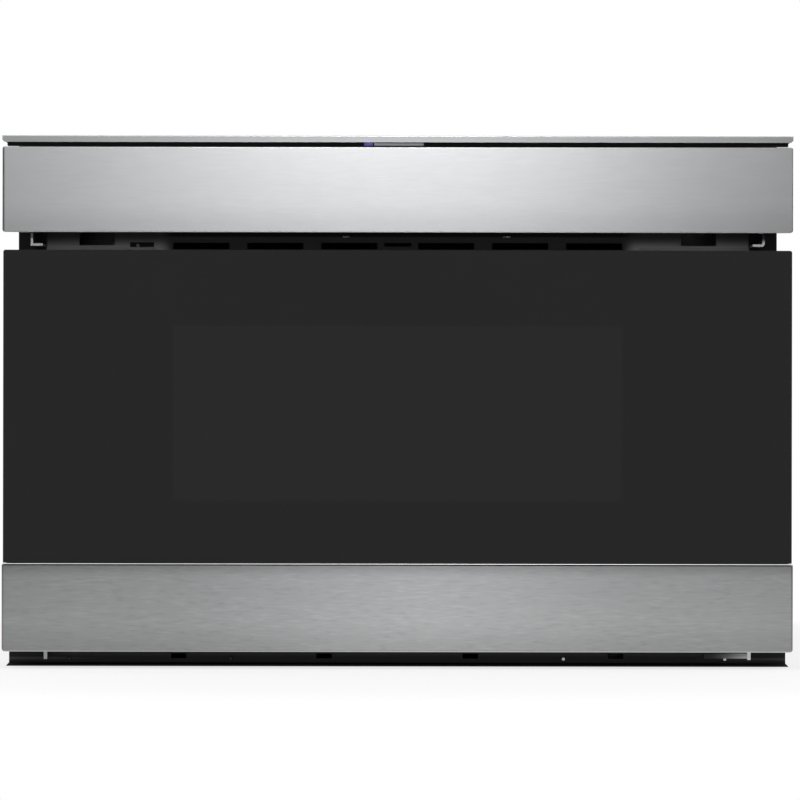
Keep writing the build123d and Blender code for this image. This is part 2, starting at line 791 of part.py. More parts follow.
def keyway_screw():
    """Single screw seen in the small recess of the frame."""
    place = (KEYWAY_X - KEYWAY_SHIFT, keyway_floor(), SLOT_Z + KEYWAY_UP + KEYWAY_H / 2)
    return Screw(place, BACKWARD, FRAME_T - KEYWAY_DEPTH, SMALL_HEAD_R, SMALL_SHANK_R)


def bottom_trim():
    """Black sheet under the drawer with air notches and a lip that flares out to the floor."""
    y = (FRAME_Y[0] - TRIM_PLATE_T, FRAME_Y[0])
    plate = wide(BOTTOM_TRIM_W, y, (LIP_RISE, TRIM_PLATE_TOP))
    lip = slab_x(
        [
            (y[0], LIP_RISE),
            (y[0] - LIP_FORWARD, LIP_T),
            (y[0] - LIP_FORWARD, 0),
            (y[1], 0),
            (y[1], LIP_RISE),
        ],
        (-WIDTH / 2, WIDTH / 2),
    )
    flare = [(WIDTH / 2, 0), (WIDTH / 2, LIP_RISE), (BOTTOM_TRIM_W / 2, LIP_RISE)]
    plate += lip - corner_cuts(flare, y[0] - LIP_FORWARD)
    for hole in notch_boxes(beyond(y)):
        plate -= hole
    return drilled(plate, bottom_screws())


def corner_cuts(outline, front):
    """Wedges that cut both end corners of a piece: the outline holds the (x, z) points of one."""
    face = Plane.XZ * make_face(Polyline(*outline, close=True))
    wedge = Pos(0, front - PAST, 0) * extrude(face, amount=FRONT_DEPTH, dir=(0, 1, 0))
    return [wedge, mirrored(wedge)]


def bottom_screws():
    """Small screws of the bottom trim."""
    seat = FRAME_Y[0] - TRIM_PLATE_T
    length = TRIM_PLATE_T + FRAME_T
    rows = (-BOTTOM_SCREW_OUTER, -BOTTOM_SCREW_INNER, BOTTOM_SCREW_INNER, BOTTOM_SCREW_OUTER)
    places = [(x, seat, BOTTOM_SCREW_UP) for x in rows]
    return [Screw(place, BACKWARD, length, SMALL_HEAD_R, SMALL_SHANK_R) for place in places]


def top_trim():
    """Stainless cap along the top, its lower end corners cut at a slant."""
    front = back(PANEL_BACK)
    cap = wide(WIDTH, (front, FRAME_Y[1]), (HEIGHT - STAINLESS, HEIGHT))
    lip = wide(WIDTH, (front, front + STAINLESS), TRIM_Z)
    end = block((WIDTH / 2 - STAINLESS, WIDTH / 2), (front, FRAME_Y[0]), TRIM_Z)
    cap = cap + lip + end + mirrored(end)
    edge, low = WIDTH / 2, TRIM_Z[0]
    cap -= corner_cuts([(edge - TRIM_CORNER, low), (edge, low), (edge, low + TRIM_CORNER)], front)
    return soft_front(drilled(cap, top_screws()), TRIM_SOFT)


def top_screws():
    """Screws that hold the cap to the frame's top flange, driven from below."""
    y = FRAME_Y[0] - FRAME_TOP_FLANGE / 2
    low = HEIGHT - STAINLESS - FRAME_FLANGE_T
    return [Screw((x, y, low), UPWARD, FRAME_FLANGE_T) for x in (-FOOT_X, 0, FOOT_X)]


def sensor_bar():
    """Black bar under the cap, with pockets for the light and the sensor lens."""
    y = (back(SENSOR_BACK), back(SENSOR_BACK + SENSOR_D))
    bar = wide(SENSOR_BAR_W, y, (PANEL_Z[1] + BAR_CLEAR, HEIGHT - STAINLESS))
    for x, width in ((LENS_X, LENS_W), (LED_X, LED_W)):
        bar -= lens_block(x, width + 2 * RUN_GAP, (y[0] - PAST, y[0] + LENS_POCKET))
    return bar


def lens_block(x, width, y):
    """Clear window in the sensor bar."""
    low = PANEL_Z[1] + BAR_CLEAR + LENS_UP
    return block((x - width / 2, x + width / 2), y, (low, low + LENS_H))


# ---- Hinges of the control panel
def hinge_bracket(side):
    """Zinc L section with the hinge hole at its nose and a tab on the frame."""
    reach = FRAME_Y[0] - PIVOT_Y
    low = PANEL_Z[0] - HINGE_DROP - PIVOT_Z
    profile = [
        (0, WEB_NOSE_R),
        (WEB_CHEST, WEB_TOP),
        (reach, WEB_TOP),
        (reach, low),
        (WEB_FRONT, low),
        (WEB_FRONT, -WEB_NOSE_R + NOSE_STEP),
        (0, -WEB_NOSE_R),
    ]
    web = slab_x([(PIVOT_Y + y, PIVOT_Z + z) for y, z in profile], (WEB_IN, WEB_OUT))
    web += rod_x(PIVOT_Y, PIVOT_Z, WEB_NOSE_R, (WEB_IN, WEB_OUT))
    foot_z = (PIVOT_Z + low, PIVOT_Z + low + WEB_T)
    web += block((WEB_OUT - HINGE_FOOT_W, WEB_OUT), (PIVOT_Y + WEB_FRONT, FRAME_Y[0]), foot_z)
    tab_z = (PANEL_Z[0] + TAB_UP, PIVOT_Z + WEB_TOP)
    web += block((WEB_IN, WEB_OUT + TAB_W), (FRAME_Y[0] - WEB_T, FRAME_Y[0]), tab_z)
    web -= rod_x(PIVOT_Y, PIVOT_Z, PIN_R + RUN_GAP, beyond((WEB_IN, WEB_OUT)))
    web = drilled(web, hinge_screws())
    return web if side > 0 else mirrored(web)


def hinge_screws():
    """Two screws through the tab of each hinge bracket."""
    middle = WEB_OUT + TAB_W / 2
    levels = (PANEL_Z[0] + TAB_UP + 2 * SCREW_HEAD_R, PIVOT_Z + WEB_TOP - 2 * SCREW_HEAD_R)
    places = [(x, FRAME_Y[0] - WEB_T, z) for x in (-middle, middle) for z in levels]
    return [Screw(place, BACKWARD, WEB_T + FRAME_T) for place in places]


def gear_sector():
    """Fixed toothed sector on the right hinge bracket."""
    face = gear(PANEL_MODULE, SECTOR_TEETH, MESH_ANGLE, MESH_GAP, PANEL_STUB)
    reach = SECTOR_REACH * (SECTOR_R + 2 * PANEL_MODULE)
    start, stop = math.radians(SECTOR_FROM), math.radians(SECTOR_TO)
    rim = [(reach * math.cos(a), reach * math.sin(a)) for a in (start, (start + stop) / 2, stop)]
    pie = make_face(Polyline((0, 0), *rim, close=True))
    x = (WEB_IN - SECTOR_T, WEB_IN)
    solid = gear_x(face & pie, PIVOT_Y, PIVOT_Z, x) + rod_x(PIVOT_Y, PIVOT_Z, SECTOR_HUB_R, x)
    return solid - rod_x(PIVOT_Y, PIVOT_Z, PIN_R + RUN_GAP, beyond(x))


def panel_pinion():
    """Pinion on its shaft: it rolls on the fixed sector."""
    y, z = pinion_place()
    x = (WEB_IN - PANEL_PINION_GAP - PANEL_PINION_T, WEB_IN - PANEL_PINION_GAP)
    phase = MESH_ANGLE + 180 + 180 / PANEL_PINION_TEETH
    face = gear(PANEL_MODULE, PANEL_PINION_TEETH, phase, MESH_GAP, PANEL_STUB)
    grip = HOUSING_W / 2 - HOUSING_WALL - PIN_GRIP
    return gear_x(face, y, z, x) + rod_x(y, z, PANEL_SHAFT_R, (grip, x[0]))


def pinion_place():
    """Centre of the panel's pinion as (y, z)."""
    reach = SECTOR_R + PANEL_PINION_R
    angle = math.radians(MESH_ANGLE)
    return PIVOT_Y + reach * math.cos(angle), PIVOT_Z + reach * math.sin(angle)


def panel_gear_motor():
    """Gear motor of the panel, against the inside of the housing's right end."""
    end = HOUSING_W / 2 - HOUSING_WALL
    y = (PIVOT_Y + PANEL_GEARBOX_BACK, PIVOT_Y + PANEL_GEARBOX_BACK + PANEL_GEARBOX_D)
    z = (PIVOT_Z + PANEL_GEARBOX_UP, PIVOT_Z + PANEL_GEARBOX_UP + PANEL_GEARBOX_H)
    box = block((end - PANEL_GEARBOX_L, end), y, z)
    middle = ((y[0] + y[1]) / 2, (z[0] + z[1]) / 2)
    box += rod_x(*middle, PANEL_CAN_R, (end - PANEL_GEARBOX_L - PANEL_CAN_L, end - PANEL_GEARBOX_L))
    shaft = pinion_place()
    return box - rod_x(*shaft, PANEL_SHAFT_R + RUN_GAP, (end - PIN_GRIP - RUN_GAP, end + PAST))


# ---- Tilting control panel
def panel_front():
    """Brushed stainless face with turned-back ends."""
    y = (back(PANEL_BACK), back(PANEL_BACK + PANEL_RIM))
    shell = front_plate(PANEL_W, y, PANEL_Z, PANEL_LOW_R, PANEL_HIGH_R)
    hollow = wide(PANEL_W - 2 * STAINLESS, (y[0] + STAINLESS, y[1] + PAST), beyond(PANEL_Z))
    return soft_front(shell - hollow, PANEL_SOFT)


def on_slope(solid):
    """Place a piece made with the touch glass's front top edge as its origin."""
    z = PANEL_Z[1] - TOUCH_FRONT_DROP
    return Pos(0, PIVOT_Y - TOUCH_FRONT_BACK, z) * Rot(-TOUCH_SLOPE, 0, 0) * solid


def glass_underside(y):
    """Height of the touch glass's underside at a given Y."""
    slope = math.radians(TOUCH_SLOPE)
    level = PANEL_Z[1] - TOUCH_FRONT_DROP - TOUCH_T / math.cos(slope)
    return level - (y - PIVOT_Y + TOUCH_FRONT_BACK) * math.tan(slope)


def panel_housing():
    """Hollow wedge behind the stainless face, open under the touch glass."""
    front = back(PANEL_BACK + STAINLESS)
    rear = PIVOT_Y + HOUSING_REAR_BACK
    low, rear_low = PIVOT_Z - HOUSING_DROP, PIVOT_Z + HOUSING_REAR_UP
    foot = PIVOT_Y + HOUSING_FOOT
    top = [(rear, glass_underside(rear)), (front, glass_underside(front))]
    outline = [(front, low), (foot, low), (rear, rear_low), *top]
    body = slab_x(outline, (-HOUSING_W / 2, HOUSING_W / 2))
    rise = (rear_low - low) / (rear - foot)
    wall = HOUSING_WALL
    lift = wall * math.hypot(1, rise)
    hollow = [
        (front + wall, low + wall),
        (foot, low + lift),
        (rear - wall, low + lift + rise * (rear - wall - foot)),
        (rear - wall, PANEL_Z[1]),
        (front + wall, PANEL_Z[1]),
    ]
    body -= slab_x(hollow, (-HOUSING_W / 2 + wall, HOUSING_W / 2 - wall))
    end = HOUSING_W / 2
    boss = rod_x(PIVOT_Y, PIVOT_Z, HOUSING_FILL, (end - wall - PIN_GRIP, end - wall))
    body = body + boss + mirrored(boss)
    body -= rod_x(PIVOT_Y, PIVOT_Z, PIN_R + RUN_GAP, beyond((-end, end)))
    return body - rod_x(*pinion_place(), PANEL_SHAFT_R + SEAT_GAP, beyond((end - wall, end)))


def hinge_pins():
    """Two headed pins from the housing's ends through the hinge brackets."""
    start = HOUSING_W / 2 - HOUSING_WALL - PIN_GRIP
    stop = WEB_OUT + SEAT_GAP
    pin = rod_x(PIVOT_Y, PIVOT_Z, PIN_R, (start, stop))
    pin += rod_x(PIVOT_Y, PIVOT_Z, PIN_HEAD_R, (stop, stop + PIN_HEAD_T))
    return [pin, mirrored(pin)]


def touch_glass():
    """Black glass with the keys and the clock."""
    return on_slope(wide(TOUCH_W, (0, TOUCH_L), (-TOUCH_T, 0)))


def key_board():
    """Touch key board under the glass, with a window for the display."""
    z = (-TOUCH_T - BOARD_T, -TOUCH_T)
    board = wide(BOARD_W, (BOARD_INSET, BOARD_INSET + BOARD_L), z)
    middle = BOARD_INSET + BOARD_L / 2
    window = (middle - DISPLAY_L / 2 - SEAT_GAP, middle + DISPLAY_L / 2 + SEAT_GAP)
    board -= wide(DISPLAY_W + 2 * SEAT_GAP, window, beyond(z))
    chip_y = (middle - KEY_CHIP_W / 2, middle + KEY_CHIP_W / 2)
    for number in (0, 1):
        x = BOARD_W / 2 - KEY_CHIP_FROM_END - number * KEY_CHIP_PITCH
        chip = block((x - KEY_CHIP_W, x), chip_y, (z[0] - KEY_CHIP_T, z[0]))
        board = board + chip + mirrored(chip)
    return on_slope(board)


def display_module():
    """Clock display under the middle of the glass."""
    middle = BOARD_INSET + BOARD_L / 2
    y = (middle - DISPLAY_L / 2, middle + DISPLAY_L / 2)
    return on_slope(wide(DISPLAY_W, y, (-TOUCH_T - DISPLAY_T, -TOUCH_T)))


# ---- Drawer front
def drawer_strip():
    """Brushed stainless strip with all four edges turned back."""
    y = (back(0), back(STRIP_RIM))
    shell = front_plate(WIDTH, y, STRIP_Z, STRIP_LOW_R, STRIP_HIGH_R)
    inner_y = (y[0] + STAINLESS, y[1] + PAST)
    inner_z = (STRIP_Z[0] + STAINLESS, STRIP_Z[1] - STAINLESS)
    inner_r = (STRIP_LOW_R - STAINLESS, STRIP_HIGH_R - STAINLESS)
    shell -= front_plate(WIDTH - 2 * STAINLESS, inner_y, inner_z, *inner_r)
    cut_z = (STRIP_Z[1] - 2 * STAINLESS, STRIP_Z[1] + PAST)
    shell -= wide(WIDTH + 2 * PAST, (GLASS_Y[1], y[1] + PAST), cut_z)
    return soft_front(shell, STRIP_SOFT)


def drawer_glass():
    """Black glass face of the drawer."""
    plate = front_plate(GLASS_W, GLASS_Y, GLASS_Z, GLASS_LOW_R, GLASS_HIGH_R)
    return chamfer(plate.faces().sort_by(Axis.Y)[0].edges(), GLASS_BEVEL)


def window_size(lap):
    """Width and height limits of the window, grown by a lap."""
    return (WINDOW_W + 2 * lap, WINDOW_Z[0] - lap, WINDOW_Z[1] + lap)


def door_frame():
    """Black carrier behind the faces: a hollow pan with a collar round the window."""
    z = (STRIP_Z[0] + STAINLESS, GLASS_Z[1] - CARRIER_EDGE)
    y = (GLASS_Y[1], BACKING_Y[0])
    wall = CARRIER_WALL
    pan = wide(CARRIER_W, y, z)
    pan -= wide(CARRIER_W - 2 * wall, (y[0] + wall, y[1] + PAST), (z[0] + wall, z[1] - wall))
    window_stop = BACKING_Y[0] - INNER_GLASS_T - SCREEN_T
    collar = ring(window_size(wall), window_size(0), (y[0] + wall, window_stop))
    return (pan - wide(WINDOW_W, beyond((y[0], y[0] + wall)), WINDOW_Z)) + collar


def choke_sizes():
    """Outer and inner edge of the choke trough round the mouth."""
    reach = CHOKE_EDGE
    outer = (CAVITY_W + 2 * reach, CAVITY_Z[0] - CHOKE_W, CAVITY_Z[1] + CHOKE_W)
    inner = (outer[0] - 2 * CHOKE_W, outer[1] + CHOKE_W, outer[2] - CHOKE_W)
    return outer, inner


def grown(size, by):
    """Ring size grown by a width on every side."""
    return (size[0] + 2 * by, size[1] - by, size[2] + by)


def door_back():
    """Steel back of the drawer front with the microwave choke trough pressed into it."""
    outer, inner = choke_sizes()
    z = (STRIP_Z[0] + STAINLESS + BACKING_EDGE, GLASS_Z[1] - BACKING_EDGE)
    plate = wide(BACKING_W, BACKING_Y, z)
    plate -= ring(outer, inner, beyond(BACKING_Y))
    plate -= wide(WINDOW_W, beyond(BACKING_Y), WINDOW_Z)
    floor_y = BACKING_Y[0] - CHOKE_DEPTH
    plate += ring(grown(outer, BACKING_T), outer, (floor_y, BACKING_Y[1]))
    plate += ring(inner, grown(inner, -BACKING_T), (floor_y, BACKING_Y[1]))
    plate += ring(grown(outer, BACKING_T), grown(inner, -BACKING_T), (floor_y, floor_y + BACKING_T))
    return drilled(plate, bracket_screws() + rack_screws())


def choke_cover():
    """Plastic ring that closes the choke trough."""
    outer, inner = choke_sizes()
    return ring(grown(outer, CHOKE_LAP), grown(inner, -CHOKE_LAP), (BACKING_Y[1], DOOR_Y))


def inner_glass():
    """Clear pane on the oven side of the window."""
    size = window_size(WINDOW_LAP)
    return wide(size[0], (BACKING_Y[0] - INNER_GLASS_T, BACKING_Y[0]), size[1:])


def window_screen():
    """Perforated screen in front of the inner pane."""
    size = window_size(WINDOW_LAP)
    stop = BACKING_Y[0] - INNER_GLASS_T
    return wide(size[0], (stop - SCREEN_T, stop), size[1:])


# ---- Drawer tray
def tray_half():
    """Half width of the tray's outside."""
    return CAVITY_W / 2 - TRAY_SIDE_GAP


def drawer_walls():
    """Sides and rear of the tray, with an outward rim and a ledge for the floor."""
    half = tray_half()
    y = (BACKING_Y[1], CAVITY_Y[1] - TRAY_REAR_GAP)
    z = TRAY_Z
    walls = wide(2 * half, y, z)
    walls -= wide(2 * (half - TRAY_T), (y[0] - PAST, y[1] - TRAY_T), (z[0] + TRAY_T, z[1] + PAST))
    inset = TRAY_T + TRAY_LEDGE
    walls -= wide(2 * (half - inset), (y[0] + inset, y[1] - inset), (z[0] - PAST, z[1]))
    rim_y = (y[0], y[1] + TRAY_RIM)
    rim = wide(2 * (half + TRAY_RIM), rim_y, (z[1] - TRAY_T, z[1]))
    rim -= wide(2 * (half - TRAY_T), (y[0] - PAST, y[1] - TRAY_T), (z[0], z[1] + PAST))
    rim -= wide(3 * half, (y[0] - PAST, DOOR_Y + PAST), (z[0], z[1] + PAST))
    return walls + rim


def ceramic_floor():
    """Glass-ceramic floor of the tray, lying on its ledge."""
    half = tray_half() - TRAY_T - FLOOR_GAP
    y = (BACKING_Y[1] + FLOOR_GAP, CAVITY_Y[1] - TRAY_REAR_GAP - TRAY_T - FLOOR_GAP)
    slab = wide(2 * half, y, (TRAY_Z[0] + TRAY_T, TRAY_Z[0] + TRAY_T + FLOOR_T))
    return chamfer(slab.faces().sort_by(Axis.Z)[-1].edges(), FLOOR_BEVEL)


# ---- Slides
def rails_outer():
    """Fixed members of both slides, on the turned-up sides of the base."""
    rail = channel(RAIL_OUT, RAIL_IN, (RAIL_Y, RAIL_Y + RAIL_OUTER_L), (RAIL_UP, RAIL_UP + RAIL_H), RAIL_T)
    return [rail, mirrored(rail)]


def rail_middle(side):
    """Middle member of one slide."""
    step = RAIL_T + RAIL_GAP
    z = (RAIL_UP + step, RAIL_UP + RAIL_H - step)
    rail = channel(RAIL_OUT - step, RAIL_IN + RAIL_LIP_GAP, (RAIL_Y, RAIL_Y + RAIL_MIDDLE_L), z, RAIL_T)
    return rail if side > 0 else mirrored(rail)


def rails_inner():
    """Inner members, which carry the drawer."""
    step = 2 * (RAIL_T + RAIL_GAP)
    z = (RAIL_UP + step, RAIL_UP + RAIL_H - step)
    rail = channel(RAIL_IN, RAIL_OUT - step, (RAIL_Y, RAIL_Y + RAIL_INNER_L), z, RAIL_T)
    return [rail, mirrored(rail)]


def door_brackets():
    """Angle brackets between the drawer front and the slides, with a tab that hangs below."""
    low, high = RAIL_UP + ARM_EDGE, RAIL_UP + RAIL_H - ARM_EDGE
    flange_y = (BACKING_Y[1], BACKING_Y[1] + TAB_DEPTH)
    arm = block((RAIL_IN - ARM_T, RAIL_IN), (BACKING_Y[1], BACKING_Y[1] + ARM_L), (low, high))
    outer = TAB_X + TAB_T / 2
    flange = block((outer - BRACKET_FLANGE, outer), flange_y, (low, high))
    tab = block((outer - TAB_T, outer), flange_y, (TAB_DOWN, high))
    bracket = drilled(arm + flange + tab, bracket_screws())
    return [bracket, mirrored(bracket)]


def bracket_screws():
    """Two screws of each bracket, driven into the drawer's back."""
    x = TAB_X + TAB_T / 2 - BRACKET_FLANGE + 2 * SCREW_HEAD_R
    low = RAIL_UP + ARM_EDGE + 2 * SCREW_HEAD_R
    high = RAIL_UP + RAIL_H - ARM_EDGE - 2 * SCREW_HEAD_R
    places = [(side * x, BACKING_Y[1] + TAB_DEPTH, z) for side in (-1, 1) for z in (low, high)]
    return [Screw(place, FORWARD, TAB_DEPTH + BACKING_T) for place in places]


def rack_screws():
    """Two screws of the rack's foot."""
    reach = RACK_FOOT_W / 2 - SCREW_HEAD_R - SCREW_EDGE
    level = (RACK_PITCH_UP + RACK_TOP) / 2
    places = [(RACK_X + side * reach, BACKING_Y[1] + RACK_FOOT_T, level) for side in (-1, 1)]
    return [Screw(place, FORWARD, RACK_FOOT_T + BACKING_T) for place in places]


def bar_span():
    """Y limits of the cross bar near the rear end of the inner members."""
    stop = RAIL_Y + RAIL_INNER_L - BAR_FROM_END
    return (stop - BAR_D, stop)


def cross_bar():
    """Channel that ties both slides together and holds up the rack's rear end."""
    y = bar_span()
    z = (BAR_UP, BAR_UP + BAR_H)
    bar = wide(2 * RAIL_IN, y, z)
    bar -= wide(2 * (RAIL_IN + PAST), (y[0] + BAR_T, y[1] - BAR_T), (z[0] - PAST, z[1] - BAR_T))
    ear = block((RAIL_IN - ARM_T, RAIL_IN), y, (z[0], RAIL_UP + RAIL_H - ARM_EDGE))
    edge = RACK_X + RACK_W / 2
    stay = block((edge, edge + RACK_STAY_T), y, (z[1] - BAR_T, RACK_TOP))
    return bar + ear + mirrored(ear) + stay


# ---- Rack drive
def drawer_rack():
    """Toothed rack under the drawer, with a foot on the drawer front."""
    pitch = math.pi * DRIVE_MODULE
    slope = math.tan(math.radians(PRESSURE_ANGLE))
    root_depth = ROOT_DEPTH * DRIVE_MODULE
    tip, root = RACK_PITCH_UP - DRIVE_MODULE, RACK_PITCH_UP + root_depth
    half = pitch / 4 - MESH_GAP / 2
    pinion_y = back(PINION_BACK)
    first = pinion_y - RACK_LEAD - (-RACK_LEAD % pitch) + pitch / 2
    outline = [(BACKING_Y[1], RACK_TOP), (BACKING_Y[1], root)]
    at_tip = half - slope * DRIVE_MODULE
    at_root = half + slope * root_depth
    for tooth in range(RACK_TEETH):
        centre = first + tooth * pitch
        outline += [(centre - at_root, root), (centre - at_tip, tip)]
        outline += [(centre + at_tip, tip), (centre + at_root, root)]
    end = first + RACK_TEETH * pitch
    outline += [(end, root), (end, RACK_TOP)]
    x = (RACK_X - RACK_W / 2, RACK_X + RACK_W / 2)
    rack = slab_x(outline, x)
    foot_x = (RACK_X - RACK_FOOT_W / 2, RACK_X + RACK_FOOT_W / 2)
    foot_z = (RACK_PITCH_UP - RACK_FOOT_DOWN, RACK_TOP + RACK_FOOT_UP)
    rack += block(foot_x, (BACKING_Y[1], BACKING_Y[1] + RACK_FOOT_T), foot_z)
    return drilled(rack, rack_screws())


def drive_pinion():
    """Pinion of the drawer on its motor shaft, short of the stay that passes its end face."""
    x = (RACK_X - RACK_W / 2, RACK_X + RACK_W / 2 - PASS_GAP)
    face = gear(DRIVE_MODULE, DRIVE_TEETH, 90, MESH_GAP, DRIVE_STUB)
    body = gear_x(face, back(PINION_BACK), DRIVE_Z, x)
    shaft_x = (gearbox_face() - SHAFT_GRIP, x[0])
    return body + rod_x(back(PINION_BACK), DRIVE_Z, DRIVE_SHAFT_R, shaft_x)


def gearbox_face():
    """X of the gearbox's right side."""
    return RACK_X - RACK_W / 2 - GEARBOX_GAP


def drive_motor():
    """Gear motor of the drawer, hung from the underside of the oven."""
    face = gearbox_face()
    y, z = back(PINION_BACK), DRIVE_Z
    box_y = (y - GEARBOX_W / 2, y + GEARBOX_W / 2)
    box_z = (z - GEARBOX_H / 2 + GEARBOX_LIFT, z + GEARBOX_H / 2 + GEARBOX_LIFT)
    body = block((face - GEARBOX_L, face), box_y, box_z)
    body += rod_x(y, z, MOTOR_CAN_R, (face - GEARBOX_L - MOTOR_CAN_L, face - GEARBOX_L))
    hanger_top = CAVITY_Z[0] - CAVITY_T
    for x in (face - GEARBOX_L, face - BASE_T * 2):
        body += block((x, x + BASE_T * 2), box_y, (box_z[1], hanger_top))
    body += block((face - GEARBOX_L, face), box_y, (hanger_top - BASE_T, hanger_top))
    return body - rod_x(y, z, DRIVE_SHAFT_R + RUN_GAP, (face - SHAFT_GRIP - RUN_GAP, face + PAST))


# ---- Latches
def latch_hooks():
    """Hooks on the drawer's back that reach the interlock switches."""
    x = (HOOK_X - HOOK_T / 2, HOOK_X + HOOK_T / 2)
    y0 = BACKING_Y[1]
    outline = [
        (y0, HOOK_UP),
        (y0 + HOOK_L, HOOK_UP),
        (y0 + HOOK_L, HOOK_UP + HOOK_H),
        (y0 + HOOK_L - HOOK_NOSE, HOOK_UP + HOOK_H),
        (y0 + HOOK_L - HOOK_NOSE, HOOK_UP + HOOK_H / 2),
        (y0, HOOK_UP + HOOK_H / 2),
    ]
    hook = slab_x(outline, x)
    return [hook, mirrored(hook)]


def plunger_face():
    """Y of the plunger's front end, just behind the hook."""
    return BACKING_Y[1] + HOOK_L + SEAT_GAP


def plunger(side):
    """Spring-loaded plunger of one interlock switch."""
    start = plunger_face()
    pin = rod_y(HOOK_X, HOOK_UP + HOOK_H / 2, PLUNGER_R, (start, start + PLUNGER_L))
    return pin if side > 0 else mirrored(pin)


def interlock_switches():
    """Switch bodies on arms that stand on the back of the front frame."""
    start = plunger_face() + PLUNGER_OUT
    middle = HOOK_UP + HOOK_H / 2
    z = (middle - SWITCH_H / 2, middle + SWITCH_H / 2)
    body = block((HOOK_X - SWITCH_W / 2, HOOK_X + SWITCH_W / 2), (start, start + SWITCH_L), z)
    depth = PLUNGER_L - PLUNGER_OUT + PLUNGER_TRAVEL + PLUNGER_SPARE
    body -= rod_y(HOOK_X, middle, PLUNGER_R + RUN_GAP, (start - PAST, start + depth))
    edge = HOOK_X - SWITCH_W / 2
    body += block((edge - TRAY_T, edge), (FRAME_Y[1], start + SWITCH_L), z)
    return [body, mirrored(body)]


# ---- Oven
def oven_cavity():
    """Oven box, open to the front, with a round antenna well in its floor."""
    wall = CAVITY_T
    outer_z = (CAVITY_Z[0] - wall, CAVITY_Z[1] + wall)
    box = wide(CAVITY_W + 2 * wall, (CAVITY_Y[0], CAVITY_Y[1] + wall), outer_z)
    well_low = CAVITY_Z[0] - wall - WELL_H
    box += rod_z(0, FEED_Y, WELL_R + wall, (well_low, CAVITY_Z[0] - wall))
    box -= wide(CAVITY_W, (CAVITY_Y[0] - PAST, CAVITY_Y[1]), CAVITY_Z)
    box -= rod_z(0, FEED_Y, WELL_R, (well_low + wall, CAVITY_Z[0] + PAST))
    box -= rod_z(0, FEED_Y, FEED_HOLE_R, beyond((well_low, well_low + wall)))
    first = -(EXHAUST_COLUMNS - 1) / 2 * EXHAUST_PITCH_X
    for row in range(EXHAUST_ROWS):
        y = CAVITY_Y[0] + EXHAUST_BACK + row * EXHAUST_PITCH_Y
        for column in range(EXHAUST_COLUMNS):
            x = first + column * EXHAUST_PITCH_X
            box -= rod_z(x, y, EXHAUST_R, beyond((CAVITY_Z[1], CAVITY_Z[1] + wall)))
    wall_x = beyond((CAVITY_W / 2, CAVITY_W / 2 + wall))
    return box - rod_x(back(LAMP_BACK), LAMP_UP, LAMP_HOLE_R, wall_x)


def antenna_cover():
    """Mica disc that closes the antenna well."""
    top = CAVITY_Z[0]
    return rod_z(0, FEED_Y, WELL_R - SEAT_GAP, (top - COVER_DISC_T, top))


def well_floor():
    """Height of the underside of the antenna well."""
    return CAVITY_Z[0] - CAVITY_T - WELL_H


def antenna():
    """Slotted disc on a shaft that turns in the well."""
    z = well_floor() + ANTENNA_LIFT
    disc = rod_z(0, FEED_Y, ANTENNA_R, (z, z + ANTENNA_T))
    hole = Pos(ANTENNA_SLOT_AT, 0, 0) * Box(ANTENNA_SLOT_L, ANTENNA_SLOT_W, 4 * ANTENNA_T)
    for number in range(ANTENNA_SLOTS):
        turn = ANTENNA_SLOT_TURN + number * 360 / ANTENNA_SLOTS
        disc -= Pos(0, FEED_Y, z) * Rot(0, 0, turn) * hole
    bottom = well_floor() - GUIDE_H - ANTENNA_GRIP
    return disc + rod_z(0, FEED_Y, ANTENNA_SHAFT_R, (bottom, z))


def waveguide():
    """Rectangular duct from the magnetron to the antenna."""
    top = well_floor()
    y = (FEED_Y - GUIDE_LEAD, BOX_Y[1] - GUIDE_REAR)
    duct = wide(GUIDE_W, y, (top - GUIDE_H, top))
    inner_z = (top - GUIDE_H + GUIDE_T, top - GUIDE_T)
    duct -= wide(GUIDE_W - 2 * GUIDE_T, (y[0] + GUIDE_T, y[1] - GUIDE_T), inner_z)
    roof, floor = beyond((inner_z[1], top)), beyond((top - GUIDE_H, inner_z[0]))
    duct -= rod_z(0, FEED_Y, FEED_HOLE_R, roof)
    duct -= rod_z(0, FEED_Y, ANTENNA_SHAFT_R + GUIDE_SHAFT_GAP, floor)
    return duct - rod_z(0, BOX_Y[1] - MAGNETRON_BACK, FEED_HOLE_R, roof)


def antenna_motor():
    """Flat motor under the waveguide."""
    top = well_floor() - GUIDE_H
    body = rod_z(0, FEED_Y, STIRRER_MOTOR_R, (top - STIRRER_MOTOR_H, top))
    return body - rod_z(0, FEED_Y, ANTENNA_SHAFT_R + RUN_GAP, beyond((top - ANTENNA_GRIP, top)))


